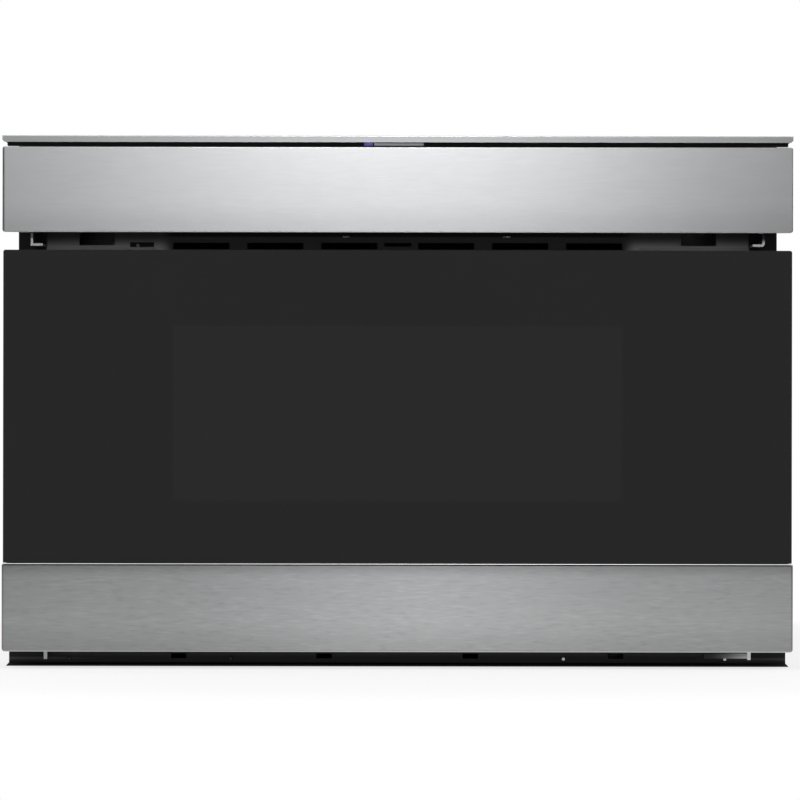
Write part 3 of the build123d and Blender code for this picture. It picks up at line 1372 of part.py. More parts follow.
def magnetron():
    """Magnetron on the rear end of the waveguide."""
    base = well_floor()
    y_mid = BOX_Y[1] - MAGNETRON_BACK
    y = (y_mid - MAGNETRON_D / 2, y_mid + MAGNETRON_D / 2)
    top = base + MAGNETRON_H
    body = wide(MAGNETRON_W, y, (base, base + PLATE_T)) + wide(MAGNETRON_W, y, (top - PLATE_T, top))
    for leg_y in ((y[0], y[0] + MAGNETRON_LEG_W), (y[1] - MAGNETRON_LEG_W, y[1])):
        leg = block((MAGNETRON_W / 2 - PLATE_T, MAGNETRON_W / 2), leg_y, (base, top))
        body = body + leg + mirrored(leg)
    body += rod_z(0, y_mid, MAGNETRON_CORE_R, (base, top))
    gap = (MAGNETRON_H - 2 * PLATE_T) / (MAGNETRON_FINS + 1)
    for fin in range(MAGNETRON_FINS):
        z = base + PLATE_T + gap * (fin + 1)
        body += wide(MAGNETRON_W - 2 * PLATE_T, (y[0] + FIN_INSET, y[1] - FIN_INSET), (z, z + FIN_T))
    box_y = (y[0] + MAGNETRON_BOX_INSET, y[1] - MAGNETRON_BOX_INSET)
    body += wide(MAGNETRON_BOX_W, box_y, (top, top + MAGNETRON_BOX_H))
    return body + rod_z(0, y_mid, MAGNETRON_CAP_R, (base - MAGNETRON_CAP_H, base))


def oven_lamp():
    """Lamp holder and bulb outside the right wall of the oven."""
    x0 = CAVITY_W / 2 + CAVITY_T
    y, z = back(LAMP_BACK), LAMP_UP
    half = LAMP_SIZE / 2
    inner = half - LAMP_WALL
    end = x0 + LAMP_SIZE - LAMP_BASE
    holder = block((x0, x0 + LAMP_SIZE), (y - half, y + half), (z - half, z + half))
    holder -= block((x0 - PAST, end), (y - inner, y + inner), (z - inner, z + inner))
    return holder + rod_x(y, z, LAMP_BULB_R, (x0 + LAMP_BULB_IN, end))


# ---- Air
def fan_place():
    """Centre of the cooling fan as (y, z)."""
    return BOX_Y[1] - MAGNETRON_BACK, FAN_UP


def fan_housing():
    """Square fan frame on legs, with struts that carry the motor."""
    y, z = fan_place()
    half = FAN_FRAME / 2
    x = (FAN_X, FAN_X + FAN_FRAME_T)
    frame = block(x, (y - half, y + half), (z - half, z + half))
    frame -= rod_x(y, z, FAN_BORE_R, beyond(x))
    frame += block((x[0], x[0] + FAN_STRUT_T), (y - half, y + half), (BASE_TOP, z - half))
    strut = (x[1], x[1] + FAN_STRUT_T)
    bars = block(strut, (y - FAN_STRUT_W / 2, y + FAN_STRUT_W / 2), (z - half, z + half))
    bars += block(strut, (y - half, y + half), (z - FAN_STRUT_W / 2, z + FAN_STRUT_W / 2))
    return frame + bars - rod_x(y, z, FAN_SHAFT_R + SEAT_GAP, beyond(strut))


def fan_rotor():
    """Hub, blades and shaft of the fan."""
    y, z = fan_place()
    x = (FAN_X + FAN_BLADE_IN, FAN_X + FAN_BLADE_IN + FAN_BLADE_W)
    rotor = rod_x(y, z, FAN_HUB_R, x)
    reach = FAN_ROTOR_R - FAN_HUB_R / 2
    for blade in range(FAN_BLADES):
        vane = Rot(0, 0, FAN_BLADE_TURN) * Box(FAN_BLADE_W, FAN_BLADE_T, reach - FAN_TIP_GAP)
        vane = Pos(0, 0, (FAN_HUB_R / 2 + FAN_ROTOR_R) / 2) * vane
        rotor += Pos((x[0] + x[1]) / 2, y, z) * Rot(360 / FAN_BLADES * blade, 0, 0) * vane
    rotor &= rod_x(y, z, FAN_ROTOR_R, x)
    stop = FAN_X + FAN_FRAME_T + FAN_STRUT_T + FAN_MOTOR_L / 2
    return rotor + rod_x(y, z, FAN_SHAFT_R, (x[1], stop))


def fan_motor():
    """Motor of the cooling fan."""
    y, z = fan_place()
    start = FAN_X + FAN_FRAME_T + FAN_STRUT_T
    body = rod_x(y, z, FAN_MOTOR_R, (start, start + FAN_MOTOR_L))
    return body - rod_x(y, z, FAN_SHAFT_R + RUN_GAP, beyond((start, start + FAN_MOTOR_L / 2)))


def exhaust_duct():
    """Duct over the oven that leads air to the louvre slots."""
    low = CAVITY_Z[1] + CAVITY_T
    y = (BOX_Y[0], BOX_Y[0] + DUCT_D)
    duct = wide(DUCT_W, y, (low, low + DUCT_H))
    inner_z = (low - PAST, low + DUCT_H - DUCT_T)
    return duct - wide(DUCT_W - 2 * DUCT_T, (y[0] - PAST, y[1] - DUCT_T), inner_z)


# ---- Power parts
def hv_transformer():
    """Laminated core with two windings."""
    y = (BOX_Y[1] - POWER_REAR - TRANSFORMER_D, BOX_Y[1] - POWER_REAR)
    x = (TRANSFORMER_X - TRANSFORMER_W / 2, TRANSFORMER_X + TRANSFORMER_W / 2)
    core = block(x, y, (BASE_TOP, BASE_TOP + TRANSFORMER_H))
    inner_x = (x[0] + COIL_PROUD, x[1] - COIL_PROUD)
    low, middle = BASE_TOP + COIL_PROUD, BASE_TOP + TRANSFORMER_H / 2
    high = BASE_TOP + TRANSFORMER_H - COIL_PROUD
    for z in ((low, middle - COIL_GAP / 2), (middle + COIL_GAP / 2, high)):
        core += block(inner_x, (y[0] - COIL_PROUD, y[1] + COIL_PROUD), z)
    return core


def capacitor_span():
    """X, Y and Z limits of the capacitor."""
    x = (CAPACITOR_X - CAPACITOR_W / 2, CAPACITOR_X + CAPACITOR_W / 2)
    y = (BOX_Y[1] - POWER_REAR - CAPACITOR_D, BOX_Y[1] - POWER_REAR)
    return x, y, (BASE_TOP, BASE_TOP + CAPACITOR_H)


def hv_capacitor():
    """Upright oval can with two terminals."""
    x, y, z = capacitor_span()
    outline = Pos((x[0] + x[1]) / 2, (y[0] + y[1]) / 2, z[0]) * SlotOverall(CAPACITOR_W, CAPACITOR_D)
    can = extrude(outline, amount=CAPACITOR_H, dir=(0, 0, 1))
    front = (y[0] + y[1] - TERMINAL_T) / 2
    for middle in (CAPACITOR_X - TERMINAL_APART / 2, CAPACITOR_X + TERMINAL_APART / 2):
        tongue_x = (middle - TERMINAL_W / 2, middle + TERMINAL_W / 2)
        can += block(tongue_x, (front, front + TERMINAL_T), (z[1], z[1] + TERMINAL_H))
    return can


def control_board():
    """Power board on posts over the oven, with its tall parts."""
    low = CAVITY_Z[1] + CAVITY_T
    x = (CONTROL_X - CONTROL_W / 2, CONTROL_X + CONTROL_W / 2)
    y = (back(CONTROL_BACK), back(CONTROL_BACK) + CONTROL_D)
    level = low + STANDOFF_H
    board = block(x, y, (level, level + BOARD_T))
    inset = 3 * STANDOFF_R
    for px in (x[0] + inset, x[1] - inset):
        for py in (y[0] + inset, y[1] - inset):
            board += rod_z(px, py, STANDOFF_R, (low, level))
    top = level + BOARD_T
    front_row = (y[0] + PARTS_MARGIN, (MAINS_COIL, RELAY, RELAY, RELAY))
    rear_row = (y[0] + CONTROL_D / 2, (FILTER_CAN, SMALL_COIL, PLUG_ROW, HEAT_SINK))
    for front, row in (front_row, rear_row):
        left = x[0] + PARTS_MARGIN
        for width, depth, height in row:
            board += block((left, left + width), (front, front + depth), (top, top + height))
            left += width + PARTS_GAP
    return board


os.makedirs("parts", exist_ok=True)

save("base_plate", base_plate())
save("feet", *feet())
save("outer_wrap", outer_wrap())
save("back_plate", back_plate())
save("cord_gland", cord_gland())
save("front_frame", front_frame())
save("bottom_trim", bottom_trim())
save("top_trim", top_trim())
save("sensor_bar", sensor_bar())
lens_y = (back(SENSOR_BACK - LENS_PROUD), back(SENSOR_BACK + LENS_POCKET))
save("wave_sensor_lens", lens_block(LENS_X, LENS_W, lens_y))
save("status_led", lens_block(LED_X, LED_W, lens_y))
save("hinge_bracket_left", hinge_bracket(-1))
save("hinge_bracket_right", hinge_bracket(1))
save("gear_sector", gear_sector())
save("panel_front", panel_front())
save("panel_housing", panel_housing())
save("touch_glass", touch_glass())
save("key_board", key_board())
save("display_module", display_module())
save("hinge_pins", *hinge_pins())
save("panel_gear_motor", panel_gear_motor())
save("panel_pinion", panel_pinion())
save("drawer_strip", drawer_strip())
save("drawer_glass", drawer_glass())
save("door_frame", door_frame())
save("door_back", door_back())
save("choke_cover", choke_cover())
save("inner_glass", inner_glass())
save("window_screen", window_screen())
save("drawer_walls", drawer_walls())
save("ceramic_floor", ceramic_floor())
save("rails_outer", *rails_outer())
save("rail_middle_left", rail_middle(-1))
save("rail_middle_right", rail_middle(1))
save("rails_inner", *rails_inner())
save("door_brackets", *door_brackets())
save("cross_bar", cross_bar())
save("drawer_rack", drawer_rack())
save("drive_pinion", drive_pinion())
save("drive_motor", drive_motor())
save("latch_hooks", *latch_hooks())
save("plunger_left", plunger(-1))
save("plunger_right", plunger(1))
save("interlock_switches", *interlock_switches())
save("oven_cavity", oven_cavity())
save("antenna_cover", antenna_cover())
save("antenna", antenna())
save("antenna_motor", antenna_motor())
save("waveguide", waveguide())
save("magnetron", magnetron())
save("oven_lamp", oven_lamp())
save("fan_housing", fan_housing())
save("fan_rotor", fan_rotor())
save("fan_motor", fan_motor())
save("exhaust_duct", exhaust_duct())
save("hv_transformer", hv_transformer())
save("hv_capacitor", hv_capacitor())
save("control_board", control_board())
cabinet_screws = case_screws() + hinge_screws() + bottom_screws() + top_screws() + [keyway_screw()]
save("cabinet_screws", *[screw.solid() for screw in cabinet_screws])
save("drawer_screws", *[screw.solid() for screw in bracket_screws() + rack_screws()])
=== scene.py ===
# %% [markdown]
# # A built-in microwave drawer, dressed for its picture
# The frame holds every CAD solid in metres: X points right, Y points back and Z points up.
# We keep the solids whose shape is right, give each of them a finish, and model again the
# pieces that the eye rests on: folded stainless sheet, glass, printed keys and screws.

import math
import bmesh
import bpy
from mathutils import Matrix, Vector


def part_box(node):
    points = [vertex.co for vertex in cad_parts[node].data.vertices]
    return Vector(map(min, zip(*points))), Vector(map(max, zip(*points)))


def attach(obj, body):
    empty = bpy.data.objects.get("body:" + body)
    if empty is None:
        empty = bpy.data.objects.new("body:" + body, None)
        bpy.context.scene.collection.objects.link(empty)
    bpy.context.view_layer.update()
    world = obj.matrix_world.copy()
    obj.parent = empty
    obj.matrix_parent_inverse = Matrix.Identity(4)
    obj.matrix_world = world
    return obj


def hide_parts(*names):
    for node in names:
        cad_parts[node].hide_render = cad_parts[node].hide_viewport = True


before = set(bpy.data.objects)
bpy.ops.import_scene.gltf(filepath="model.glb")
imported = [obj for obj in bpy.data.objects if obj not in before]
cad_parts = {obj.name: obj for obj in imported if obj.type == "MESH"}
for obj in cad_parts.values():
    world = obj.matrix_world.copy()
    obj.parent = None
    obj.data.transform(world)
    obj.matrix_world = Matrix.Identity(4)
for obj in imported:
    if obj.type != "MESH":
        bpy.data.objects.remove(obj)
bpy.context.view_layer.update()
MM = 0.001


def add_object(name, data):
    """Object with this mesh, camera or lamp, in the scene."""
    added = bpy.data.objects.new(name, data)
    bpy.context.scene.collection.objects.link(added)
    return added


# %% [markdown]
# ## The camera
# The photograph is taken straight from the front by a level camera a little over four
# metres away. Its lens makes 800 pixels cover 613 mm at the front of the control panel.
# A tenth of a degree of roll follows the photograph.

# %% Camera
CAMERA_X, CAMERA_Z = 1.9 * MM, 206.4 * MM
CAMERA_DISTANCE = 4.48
CAMERA_ROLL = math.radians(0.087)
FRONT_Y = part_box("drawer_strip")[0].y
camera_data = bpy.data.cameras.new("camera")
camera_data.sensor_width = 36.0
camera_data.lens = 263.1
camera_data.clip_end = 50.0
camera = add_object("camera", camera_data)
camera.matrix_world = (
    Matrix.Translation((CAMERA_X, FRONT_Y - CAMERA_DISTANCE, CAMERA_Z))
    @ Matrix.Rotation(math.radians(90), 4, "X")
    @ Matrix.Rotation(CAMERA_ROLL, 4, "Z")
)
bpy.context.scene.camera = camera
print("camera stands at", tuple(round(c, 3) for c in camera.location))

# %% [markdown]
# ## Shader maths
# A finish is a small network of nodes. Three classes keep it readable: Value wraps one
# socket, so that sums and products can be written as Python expressions. Network adds any
# node from its type, its settings and the values of its sockets. Finish is the network of
# one material.


# %% Shader helpers
def as_node(operation):
    """Operator of Value that becomes one node of maths."""
    return lambda value, other: value.maths(operation, value, other)


class Value:
    """One number or colour on its way through a finish."""

    def __init__(self, finish, socket):
        self.finish = finish
        self.socket = socket

    def maths(self, operation, first, second):
        return self.finish.node("ShaderNodeMath", {"operation": operation}, {0: first, 1: second})

    __add__ = __radd__ = as_node("ADD")
    __mul__ = __rmul__ = as_node("MULTIPLY")
    __sub__, __truediv__ = as_node("SUBTRACT"), as_node("DIVIDE")
    __lt__, __gt__ = as_node("LESS_THAN"), as_node("GREATER_THAN")

    def __rsub__(self, other):
        return self.maths("SUBTRACT", other, self)

    def fraction(self):
        return self.maths("FRACT", self, 0.0)

    def size(self):
        return self.maths("ABSOLUTE", self, 0.0)

    def stretch(self, low, high):
        """0 below low, 1 above high, smooth between."""
        sockets = {0: self, 1: low, 2: high, 3: 0.0, 4: 1.0}
        return self.finish.node("ShaderNodeMapRange", {"interpolation_type": "SMOOTHSTEP"}, sockets)

    def fade(self, low, high):
        """1 below low, 0 above high, smooth between."""
        return 1 - self.stretch(low, high)


class Network:
    """A tree of nodes under construction."""

    def __init__(self, tree):
        self.tree = tree
        self.tree.nodes.clear()

    def node(self, kind, settings=None, sockets=None, output=0):
        """Add a node, apply its settings first, then its sockets, and hand back one output."""
        added = self.tree.nodes.new(kind)
        for setting, value in (settings or {}).items():
            setattr(added, setting, value)
        for name, value in (sockets or {}).items():
            if isinstance(value, Value):
                self.tree.links.new(value.socket, added.inputs[name])
            else:
                added.inputs[name].default_value = value
        return Value(self, added.outputs[output]) if added.outputs else None

    def ray_is(self, *kinds):
        """1 for the kinds of ray that are named, 0 for the others."""
        seen = 0.0
        for kind in kinds:
            ray = self.node("ShaderNodeLightPath", output=f"Is {kind} Ray")
            seen = ray.maths("MAXIMUM", seen, ray)
        return seen


class Finish(Network):
    """A material under construction, on the object's own coordinates."""

    def __init__(self, name):
        self.material = bpy.data.materials.new(name)
        self.material.use_nodes = True
        super().__init__(self.material.node_tree)
        self.place = self.node("ShaderNodeTexCoord", output="Object")

    def axes(self):
        """X, Y and Z of the object's own place, in metres."""
        return [self.node("ShaderNodeSeparateXYZ", None, {0: self.place}, axis) for axis in "XYZ"]

    def noise(self, scale, detail=3.0, stretch=(1.0, 1.0, 1.0), roughness=0.5):
        """Cloudy pattern from 0 to 1: scale is in cells per metre, stretch squeezes each axis."""
        spot = self.node("ShaderNodeMapping", None, {"Vector": self.place, "Scale": stretch})
        sockets = {"Vector": spot, "Scale": scale, "Detail": detail, "Roughness": roughness}
        return self.node("ShaderNodeTexNoise", None, sockets)

    def cells(self, scale):
        """Cells that each have a colour of their own, for spangle."""
        sockets = {"Vector": self.place, "Scale": scale}
        return self.node("ShaderNodeTexVoronoi", None, sockets, "Color")

    def blend(self, factor, first, second, kind="MIX"):
        """Mix or product of two colours."""
        settings = {"data_type": "RGBA", "blend_type": kind}
        return self.node("ShaderNodeMix", settings, {0: factor, 6: first, 7: second}, 2)

    def bump(self, height, depth, strength=1.0):
        """Normal that follows a height pattern: depth in metres."""
        sockets = {"Height": height, "Distance": depth, "Strength": strength}
        return self.node("ShaderNodeBump", None, sockets)

    def coat(self, colour, gloss, skin, depth, specular):
        """Connect the shader of a coating whose skin has a soft ripple."""
        relief = self.bump(skin, depth, 0.6)
        return self.done(
            Base_Color=colour, Roughness=gloss, Normal=relief, Specular_IOR_Level=specular
        )

    def done(self, **sockets):
        """Connect the Principled shader: keywords name its sockets with _ for a space."""
        named = {name.replace("_", " "): value for name, value in sockets.items()}
        shader = self.node("ShaderNodeBsdfPrincipled", None, named)
        self.node("ShaderNodeOutputMaterial", None, {"Surface": shader})
        return self.material


def grey(level, warmth=0.0):
    """Grey as a colour, a little warmer or cooler."""
    return (level * (1 + warmth), level, level * (1 - warmth), 1.0)


def scaled(colour, factor):
    """A colour made darker or lighter."""
    return (*(min(1.0, level * factor) for level in colour[:3]), 1.0)


print("shader helpers ready")

# %% [markdown]
# ## Brushed stainless steel
# The faces are stainless sheet, brushed along X. Brushing is thousands of fine scratches, so
# the pattern is noise that is stretched many times along X. It changes the colour slightly
# and lifts the surface by less than a thousandth of a millimetre. A coarser noise is cut off
# high and low, which leaves the short light and dark dashes of a worn brush. A folded face
# gets painted shade next to its bends and along its left edge, and a painted highlight on its
# bends. Its tone along X is painted light as well: it grows darker or lighter towards one side,
# with a painted highlight in the middle.


# %% Stainless finish
LEFT_END, HIGHLIGHT_X = -302.6 * MM, 10 * MM
SHADE_UNDER_TOP_REACH, SHADE_OVER_LOW_REACH, HIGHLIGHT_REACH = 12 * MM, 26 * MM, 190 * MM


def brushed_stainless(name, tone, dashes, folds_and_shade=None, painted_sweep=None):
    """Steel brushed along X.

    The first tuple holds the heights of a face's lower and upper bend, how much painted shade
    falls under the upper bend, over the lower bend and along the left edge, and how strong the
    painted highlight on the upper bend is. The second holds where along X the tone starts and
    stops to change, its level before and after that, and what the painted highlight in the
    middle adds.
    """
    finish = Finish(name)
    hair = finish.noise(1.0, 1.0, (75.0, 1000.0, 1000.0))
    fine = finish.noise(1.0, 0.0, (40.0, 2000.0, 2000.0))
    dash = finish.noise(1.0, 0.0, (110.0, 750.0, 750.0))
    cloud = finish.noise(9.0, 3.0)
    patch = finish.noise(38.0, 2.0, (1.0, 1.0, 2.2))
    scratch = dash.stretch(0.62, 0.76) - dash.fade(0.24, 0.38)
    shade = 0.34 * hair + 0.26 * fine + 0.2 * cloud + 0.2 * patch + dashes * scratch
    colour = finish.blend(shade, grey(tone * 0.88), grey(tone * 1.12))
    # Painted shade next to the bends and along the left edge, and painted highlights on the bends.
    if folds_and_shade:
        along, _, height = finish.axes()
        low, high, above, below, left_edge_shade, bend_highlight = folds_and_shade
        colour = finish.blend(along.fade(LEFT_END, LEFT_END + 2 * MM) * left_edge_shade, colour, grey(0.0))
        fold_shade = height.stretch(high - SHADE_UNDER_TOP_REACH, high - 1 * MM) * above
        fold_shade = fold_shade + height.fade(low, low + SHADE_OVER_LOW_REACH) * below
        colour = finish.blend(fold_shade, colour, grey(0.0))
        # Painted highlight on the upper bend, as strong as given, and a weaker one on the lower
        # bend.
        bend = height.stretch(high - 1.5 * MM, high - 1.2 * MM) * bend_highlight
        bend = bend + height.fade(low + 0.6 * MM, low + 0.9 * MM) * 0.4
        colour = finish.blend(bend, colour, grey(0.68))
        # Painted light along X: the tone grows darker or lighter towards one side, and a painted
        # highlight sits in the middle.
        start, stop, before, after, middle = painted_sweep
        level = before + (after - before) * along.stretch(start, stop)
        level = level + middle * (along - HIGHLIGHT_X).size().fade(0.0, HIGHLIGHT_REACH)
        colour = finish.blend(1.0, colour, level, "MULTIPLY")
    gloss = 0.267 + 0.008 * cloud
    relief = finish.bump(hair, 0.001 * MM, 0.02)
    return finish.done(
        Base_Color=colour, Metallic=1.0, Roughness=gloss, Normal=relief,
        Anisotropic=0.5, Anisotropic_Rotation=0.25,
    )


strip_low, strip_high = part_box("drawer_strip")
panel_low, panel_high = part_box("panel_front")
STAINLESS = brushed_stainless("stainless_brushed", 0.40, 0.05)
# The panel gets painted shade over its lower bend and along its left edge, and turns darker to the
# right; the strip gets painted shade by both bends, a painted highlight on its top bend, and a
# painted highlight in its middle that rises from a darker left side.
PANEL_STEEL = brushed_stainless(
    "stainless_panel", 0.355, 0.08,
    folds_and_shade=(panel_low.z, panel_high.z, 0.0, 0.14, 0.75, 0.0), painted_sweep=(0.13, 0.25, 1.01, 0.94, 0.0),
)
STRIP_STEEL = brushed_stainless(
    "stainless_strip", 0.338, 0.30,
    folds_and_shade=(strip_low.z, strip_high.z, 0.30, 0.20, 0.0, 1.0), painted_sweep=(-0.20, 0.20, 0.90, 1.04, 0.18),
)
print("stainless:", STAINLESS.name, PANEL_STEEL.name, STRIP_STEEL.name)

# %% [markdown]
# ## Sheet metal behind the front
# The case is galvanised sheet, which shows faint crystals called spangle. Brackets, rails and
# screws are zinc plated, which is brighter and has a fine even grain.


# %% Zinc finishes
def galvanised(name, tone):
    finish = Finish(name)
    crystal = finish.node("ShaderNodeSeparateColor", None, {0: finish.cells(150.0)})
    edge = finish.noise(420.0, 3.0)
    mottle = finish.noise(9.0, 3.0)
    shade = crystal * 0.5 + edge * 0.2 + mottle * 0.3
    colour = finish.blend(shade, grey(tone * 0.80, -0.01), grey(tone * 1.12, 0.0))
    gloss = 0.42 + 0.12 * crystal + 0.06 * mottle
    relief = finish.bump(edge, 0.01 * MM, 0.2)
    return finish.done(Base_Color=colour, Metallic=0.95, Roughness=gloss, Normal=relief)


def plated(name, colour, roughness):
    finish = Finish(name)
    grain = finish.noise(900.0, 3.0)
    mottle = finish.noise(30.0, 2.0)
    shade = finish.blend(grain * 0.5 + mottle * 0.5, scaled(colour, 0.82), colour)
    relief = finish.bump(grain, 0.008 * MM, 0.25)
    gloss = roughness + 0.10 * grain
    return finish.done(Base_Color=shade, Metallic=1.0, Roughness=gloss, Normal=relief)


def bracket_steel(name):
    """Satin zinc: above its bend, the web of the right bracket is painted dark and less metallic as
    painted shade.
    """
    finish = Finish(name)
    x, _, z = finish.axes()
    grain = finish.noise(260.0, 2.0)
    # Painted shade: dark and less metallic on the right bracket's web above its bend.
    web_shade = (x > 0.0) * z.stretch(327.2 * MM, 330.5 * MM)
    shade = finish.blend(grain, grey(0.30), grey(0.38))
    shade = finish.blend(web_shade, shade, grey(0.01))
    return finish.done(Base_Color=shade, Metallic=1.0 - 0.9 * web_shade, Roughness=0.34 + 0.08 * grain)


def lip_steel(name):
    """Dark paint turning into zinc towards the bracket and its lower edge: a painted highlight
    streak.
    """
    finish = Finish(name)
    x, _, z = finish.axes()
    grain = finish.noise(300.0, 2.0, (0.2, 1.0, 1.0))
    # Painted highlight streak: brighter towards the bracket and towards the lower edge.
    streak_highlight = x.size().stretch(240 * MM, 274 * MM) * (0.75 + 0.25 * z.fade(7 * MM, 9 * MM))
    shade = finish.blend(streak_highlight, grey(0.006), grey(0.62))
    return finish.done(Base_Color=shade, Metallic=0.9 * streak_highlight, Roughness=0.45 + 0.1 * grain)


def tab_steel(name):
    """Zinc of the drawer's brackets: the right one is painted brighter, a painted highlight, and
    the left one darker, painted shade.
    """
    finish = Finish(name)
    x, _, _ = finish.axes()
    grain = finish.noise(500.0, 2.0)
    # Painted highlight on the right bracket, painted shade on the left one.
    shade = finish.blend((x > 0.0) * 0.8 + grain * 0.2, grey(0.5), grey(0.97))
    return finish.done(Base_Color=shade, Metallic=0.85, Roughness=0.38 + 0.1 * grain)


GALVANISED = galvanised("galvanised_sheet", 0.56)
TAB_STEEL = tab_steel("bracket_tab_steel")
LIP_STEEL = lip_steel("bracket_lip_steel")
BRACKET_STEEL = bracket_steel("bracket_steel")
ZINC = plated("bright_zinc", (0.74, 0.745, 0.73, 1.0), 0.22)
ALUMINIUM = plated("aluminium_fins", (0.78, 0.785, 0.79, 1.0), 0.30)
# Dull, darker zinc for the screw in the frame's recess: painted shade.
SHADED_ZINC = plated("dull_zinc_painted_shade", (0.52, 0.52, 0.52, 1.0), 0.45)
print("zinc finishes ready")

# %% [markdown]
# ## Paints, enamels and plastics
# Sprayed paint has the skin of an orange, a low soft ripple. Moulded plastic has a fine
# grain from its mould. One recipe serves both, with the ripple's size and depth as values.


# %% Paint and plastic finishes
KEYWAY_X, KEYWAY_Z, FOLD_Z = -198.4 * MM, 325.8 * MM, 5.8 * MM


def coated(name, colour, roughness, ripple, depth, variation=0.12, specular=0.5):
    """Opaque coating: ripple is in waves per metre, depth in millimetres."""
    finish = Finish(name)
    skin = finish.noise(ripple, 3.0)
    cloud = finish.noise(11.0, 2.0)
    low, high = scaled(colour, 1 - variation), scaled(colour, 1 + variation)
    shade = finish.blend(skin * 0.45 + cloud * 0.55, low, high)
    return finish.coat(shade, roughness - 0.05 + 0.10 * skin, skin, depth * MM, specular)


BLACK_PAINT = coated("black_powder_coat", (0.006, 0.006, 0.0065), 0.55, 1400.0, 0.02, specular=0.25)
BLACK_BAR = coated("black_bar", (0.003, 0.003, 0.0032), 0.6, 3000.0, 0.01, specular=0.12)
BLACK_PLASTIC = coated("black_moulded", (0.012, 0.012, 0.0125), 0.48, 3000.0, 0.02)
GREY_PLASTIC = coated("grey_moulded", (0.17, 0.17, 0.175), 0.5, 2600.0, 0.02)
WHITE_PLASTIC = coated("white_acetal", (0.78, 0.78, 0.74), 0.38, 2000.0, 0.01, 0.04)
BEIGE_PLASTIC = coated("motor_case", (0.62, 0.60, 0.52), 0.45, 2200.0, 0.015, 0.05)
RUBBER = coated("black_rubber", (0.02, 0.02, 0.02), 0.75, 1800.0, 0.03)
ENAMEL = coated("oven_enamel", (0.52, 0.53, 0.54), 0.33, 650.0, 0.02, 0.07)
MICA = coated("mica_sheet", (0.62, 0.56, 0.45), 0.55, 500.0, 0.03, 0.10)
VARNISH = coated("varnished_core", (0.10, 0.055, 0.035), 0.35, 1500.0, 0.03, 0.3)
# Dark screws for the left side under the drawer, painted shade; the right ones are bright zinc.
SHADED_SCREW = coated("black_screw_painted_shade", (0.010, 0.010, 0.011), 0.38, 3000.0, 0.01)
# Pale grey for the frame's ledges: a painted highlight.
LEDGE_HIGHLIGHT_PAINT = coated("satin_ledge_painted_highlight", (0.52, 0.52, 0.52), 0.42, 1400.0, 0.02)


def frame_paint(name):
    """Satin paint with painted light: bright outer zones and a faint middle, fading to painted
    shade towards the top under the panel, below the slot and past the outer ends, and painted shade
    in the screw's recess.
    """
    finish = Finish(name)
    x, _, z = finish.axes()
    skin = finish.noise(1400.0, 3.0)
    cloud = finish.noise(24.0, 3.0)
    # Painted light and painted shade: the factors below paint the light that falls into the slot
    # under the panel.
    inner = x.size().fade(271 * MM, 273 * MM)
    side = x.size().stretch(174 * MM, 186 * MM)
    upper = z.fade(322 * MM, 336 * MM)
    below = 0.12 + 0.88 * z.stretch(312 * MM, 320 * MM)
    ends = side * (0.06 + 0.94 * upper * upper) * (0.85 + 0.3 * cloud)
    light = inner * below * (ends + (1 - side) * z.fade(331.5 * MM, 334 * MM) * 0.08)
    # Painted shade in the screw's recess.
    keyway_shade = ((x - KEYWAY_X).size() < 9.3 * MM) * ((z - KEYWAY_Z).size() < 2.75 * MM)
    shade = finish.blend(light * (1 - keyway_shade), grey(0.003), grey(0.80))
    return finish.coat(shade, 0.42 + 0.08 * skin, skin, 0.02 * MM, 0.3)


def trim_paint(name):
    """Black paint with a painted highlight along the crease at FOLD_Z near both ends, and a paler
    painted band higher up between them.
    """
    finish = Finish(name)
    x, _, z = finish.axes()
    skin = finish.noise(1400.0, 3.0)
    # Painted highlight along the crease near both ends, and a painted band of light higher up.
    crease_highlight = (z - FOLD_Z).size().fade(0.5 * MM, 1.5 * MM) * x.size().stretch(225 * MM, 275 * MM)
    upper = z.stretch(6.5 * MM, 10 * MM) * x.size().fade(250 * MM, 270 * MM)
    shade = finish.blend(crease_highlight * 0.9 + upper * 0.7, grey(0.004), grey(0.05))
    return finish.coat(shade, 0.5 + 0.1 * skin, skin, 0.02 * MM, 0.25)


FRAME_PAINT = frame_paint("satin_frame_paint")
TRIM_PAINT = trim_paint("black_trim_paint")
print("coatings ready")

# %% [markdown]
# ## Circuit boards
# A board is green lacquer over copper tracks. Two sets of stripes stand in for the tracks:
# they come from the fraction of X and Y divided by their pitch, and patches choose between them.


# %% Board finish
TRACK_PITCH_X, TRACK_PITCH_Y = 2.5 * MM, 4.0 * MM


def circuit_board(name):
    finish = Finish(name)
    x, y, _ = finish.axes()
    across = ((x / TRACK_PITCH_X).fraction() - 0.5).size()
    along = ((y / TRACK_PITCH_Y).fraction() - 0.5).size()
    patch = finish.noise(95.0, 1.0).stretch(0.47, 0.53)
    track = (across > 0.36) * patch + (along > 0.38) * (1 - patch)
    colour = finish.blend(track, (0.012, 0.085, 0.035, 1.0), (0.03, 0.19, 0.07, 1.0))
    relief = finish.bump(track, 0.03 * MM, 0.5)
    return finish.done(Base_Color=colour, Roughness=0.32 + 0.15 * patch, Normal=relief)


BOARD = circuit_board("board_lacquer")
print("board finish ready")

# %% [markdown]
# ## Glass
# The drawer face is thick glass, printed black behind, with a dark screened window that is
# only just lighter than the rest. Black glass is a nearly black body under a mirror-smooth
# surface, so almost all that we see of it is the reflection of the room.

# %% Glass finishes
WINDOW_HALF_W, WINDOW_LOW, WINDOW_HIGH = 172 * MM, 129 * MM, 263 * MM
DOT_PITCH, HOLE_PITCH = 2.0 * MM, 2.4 * MM


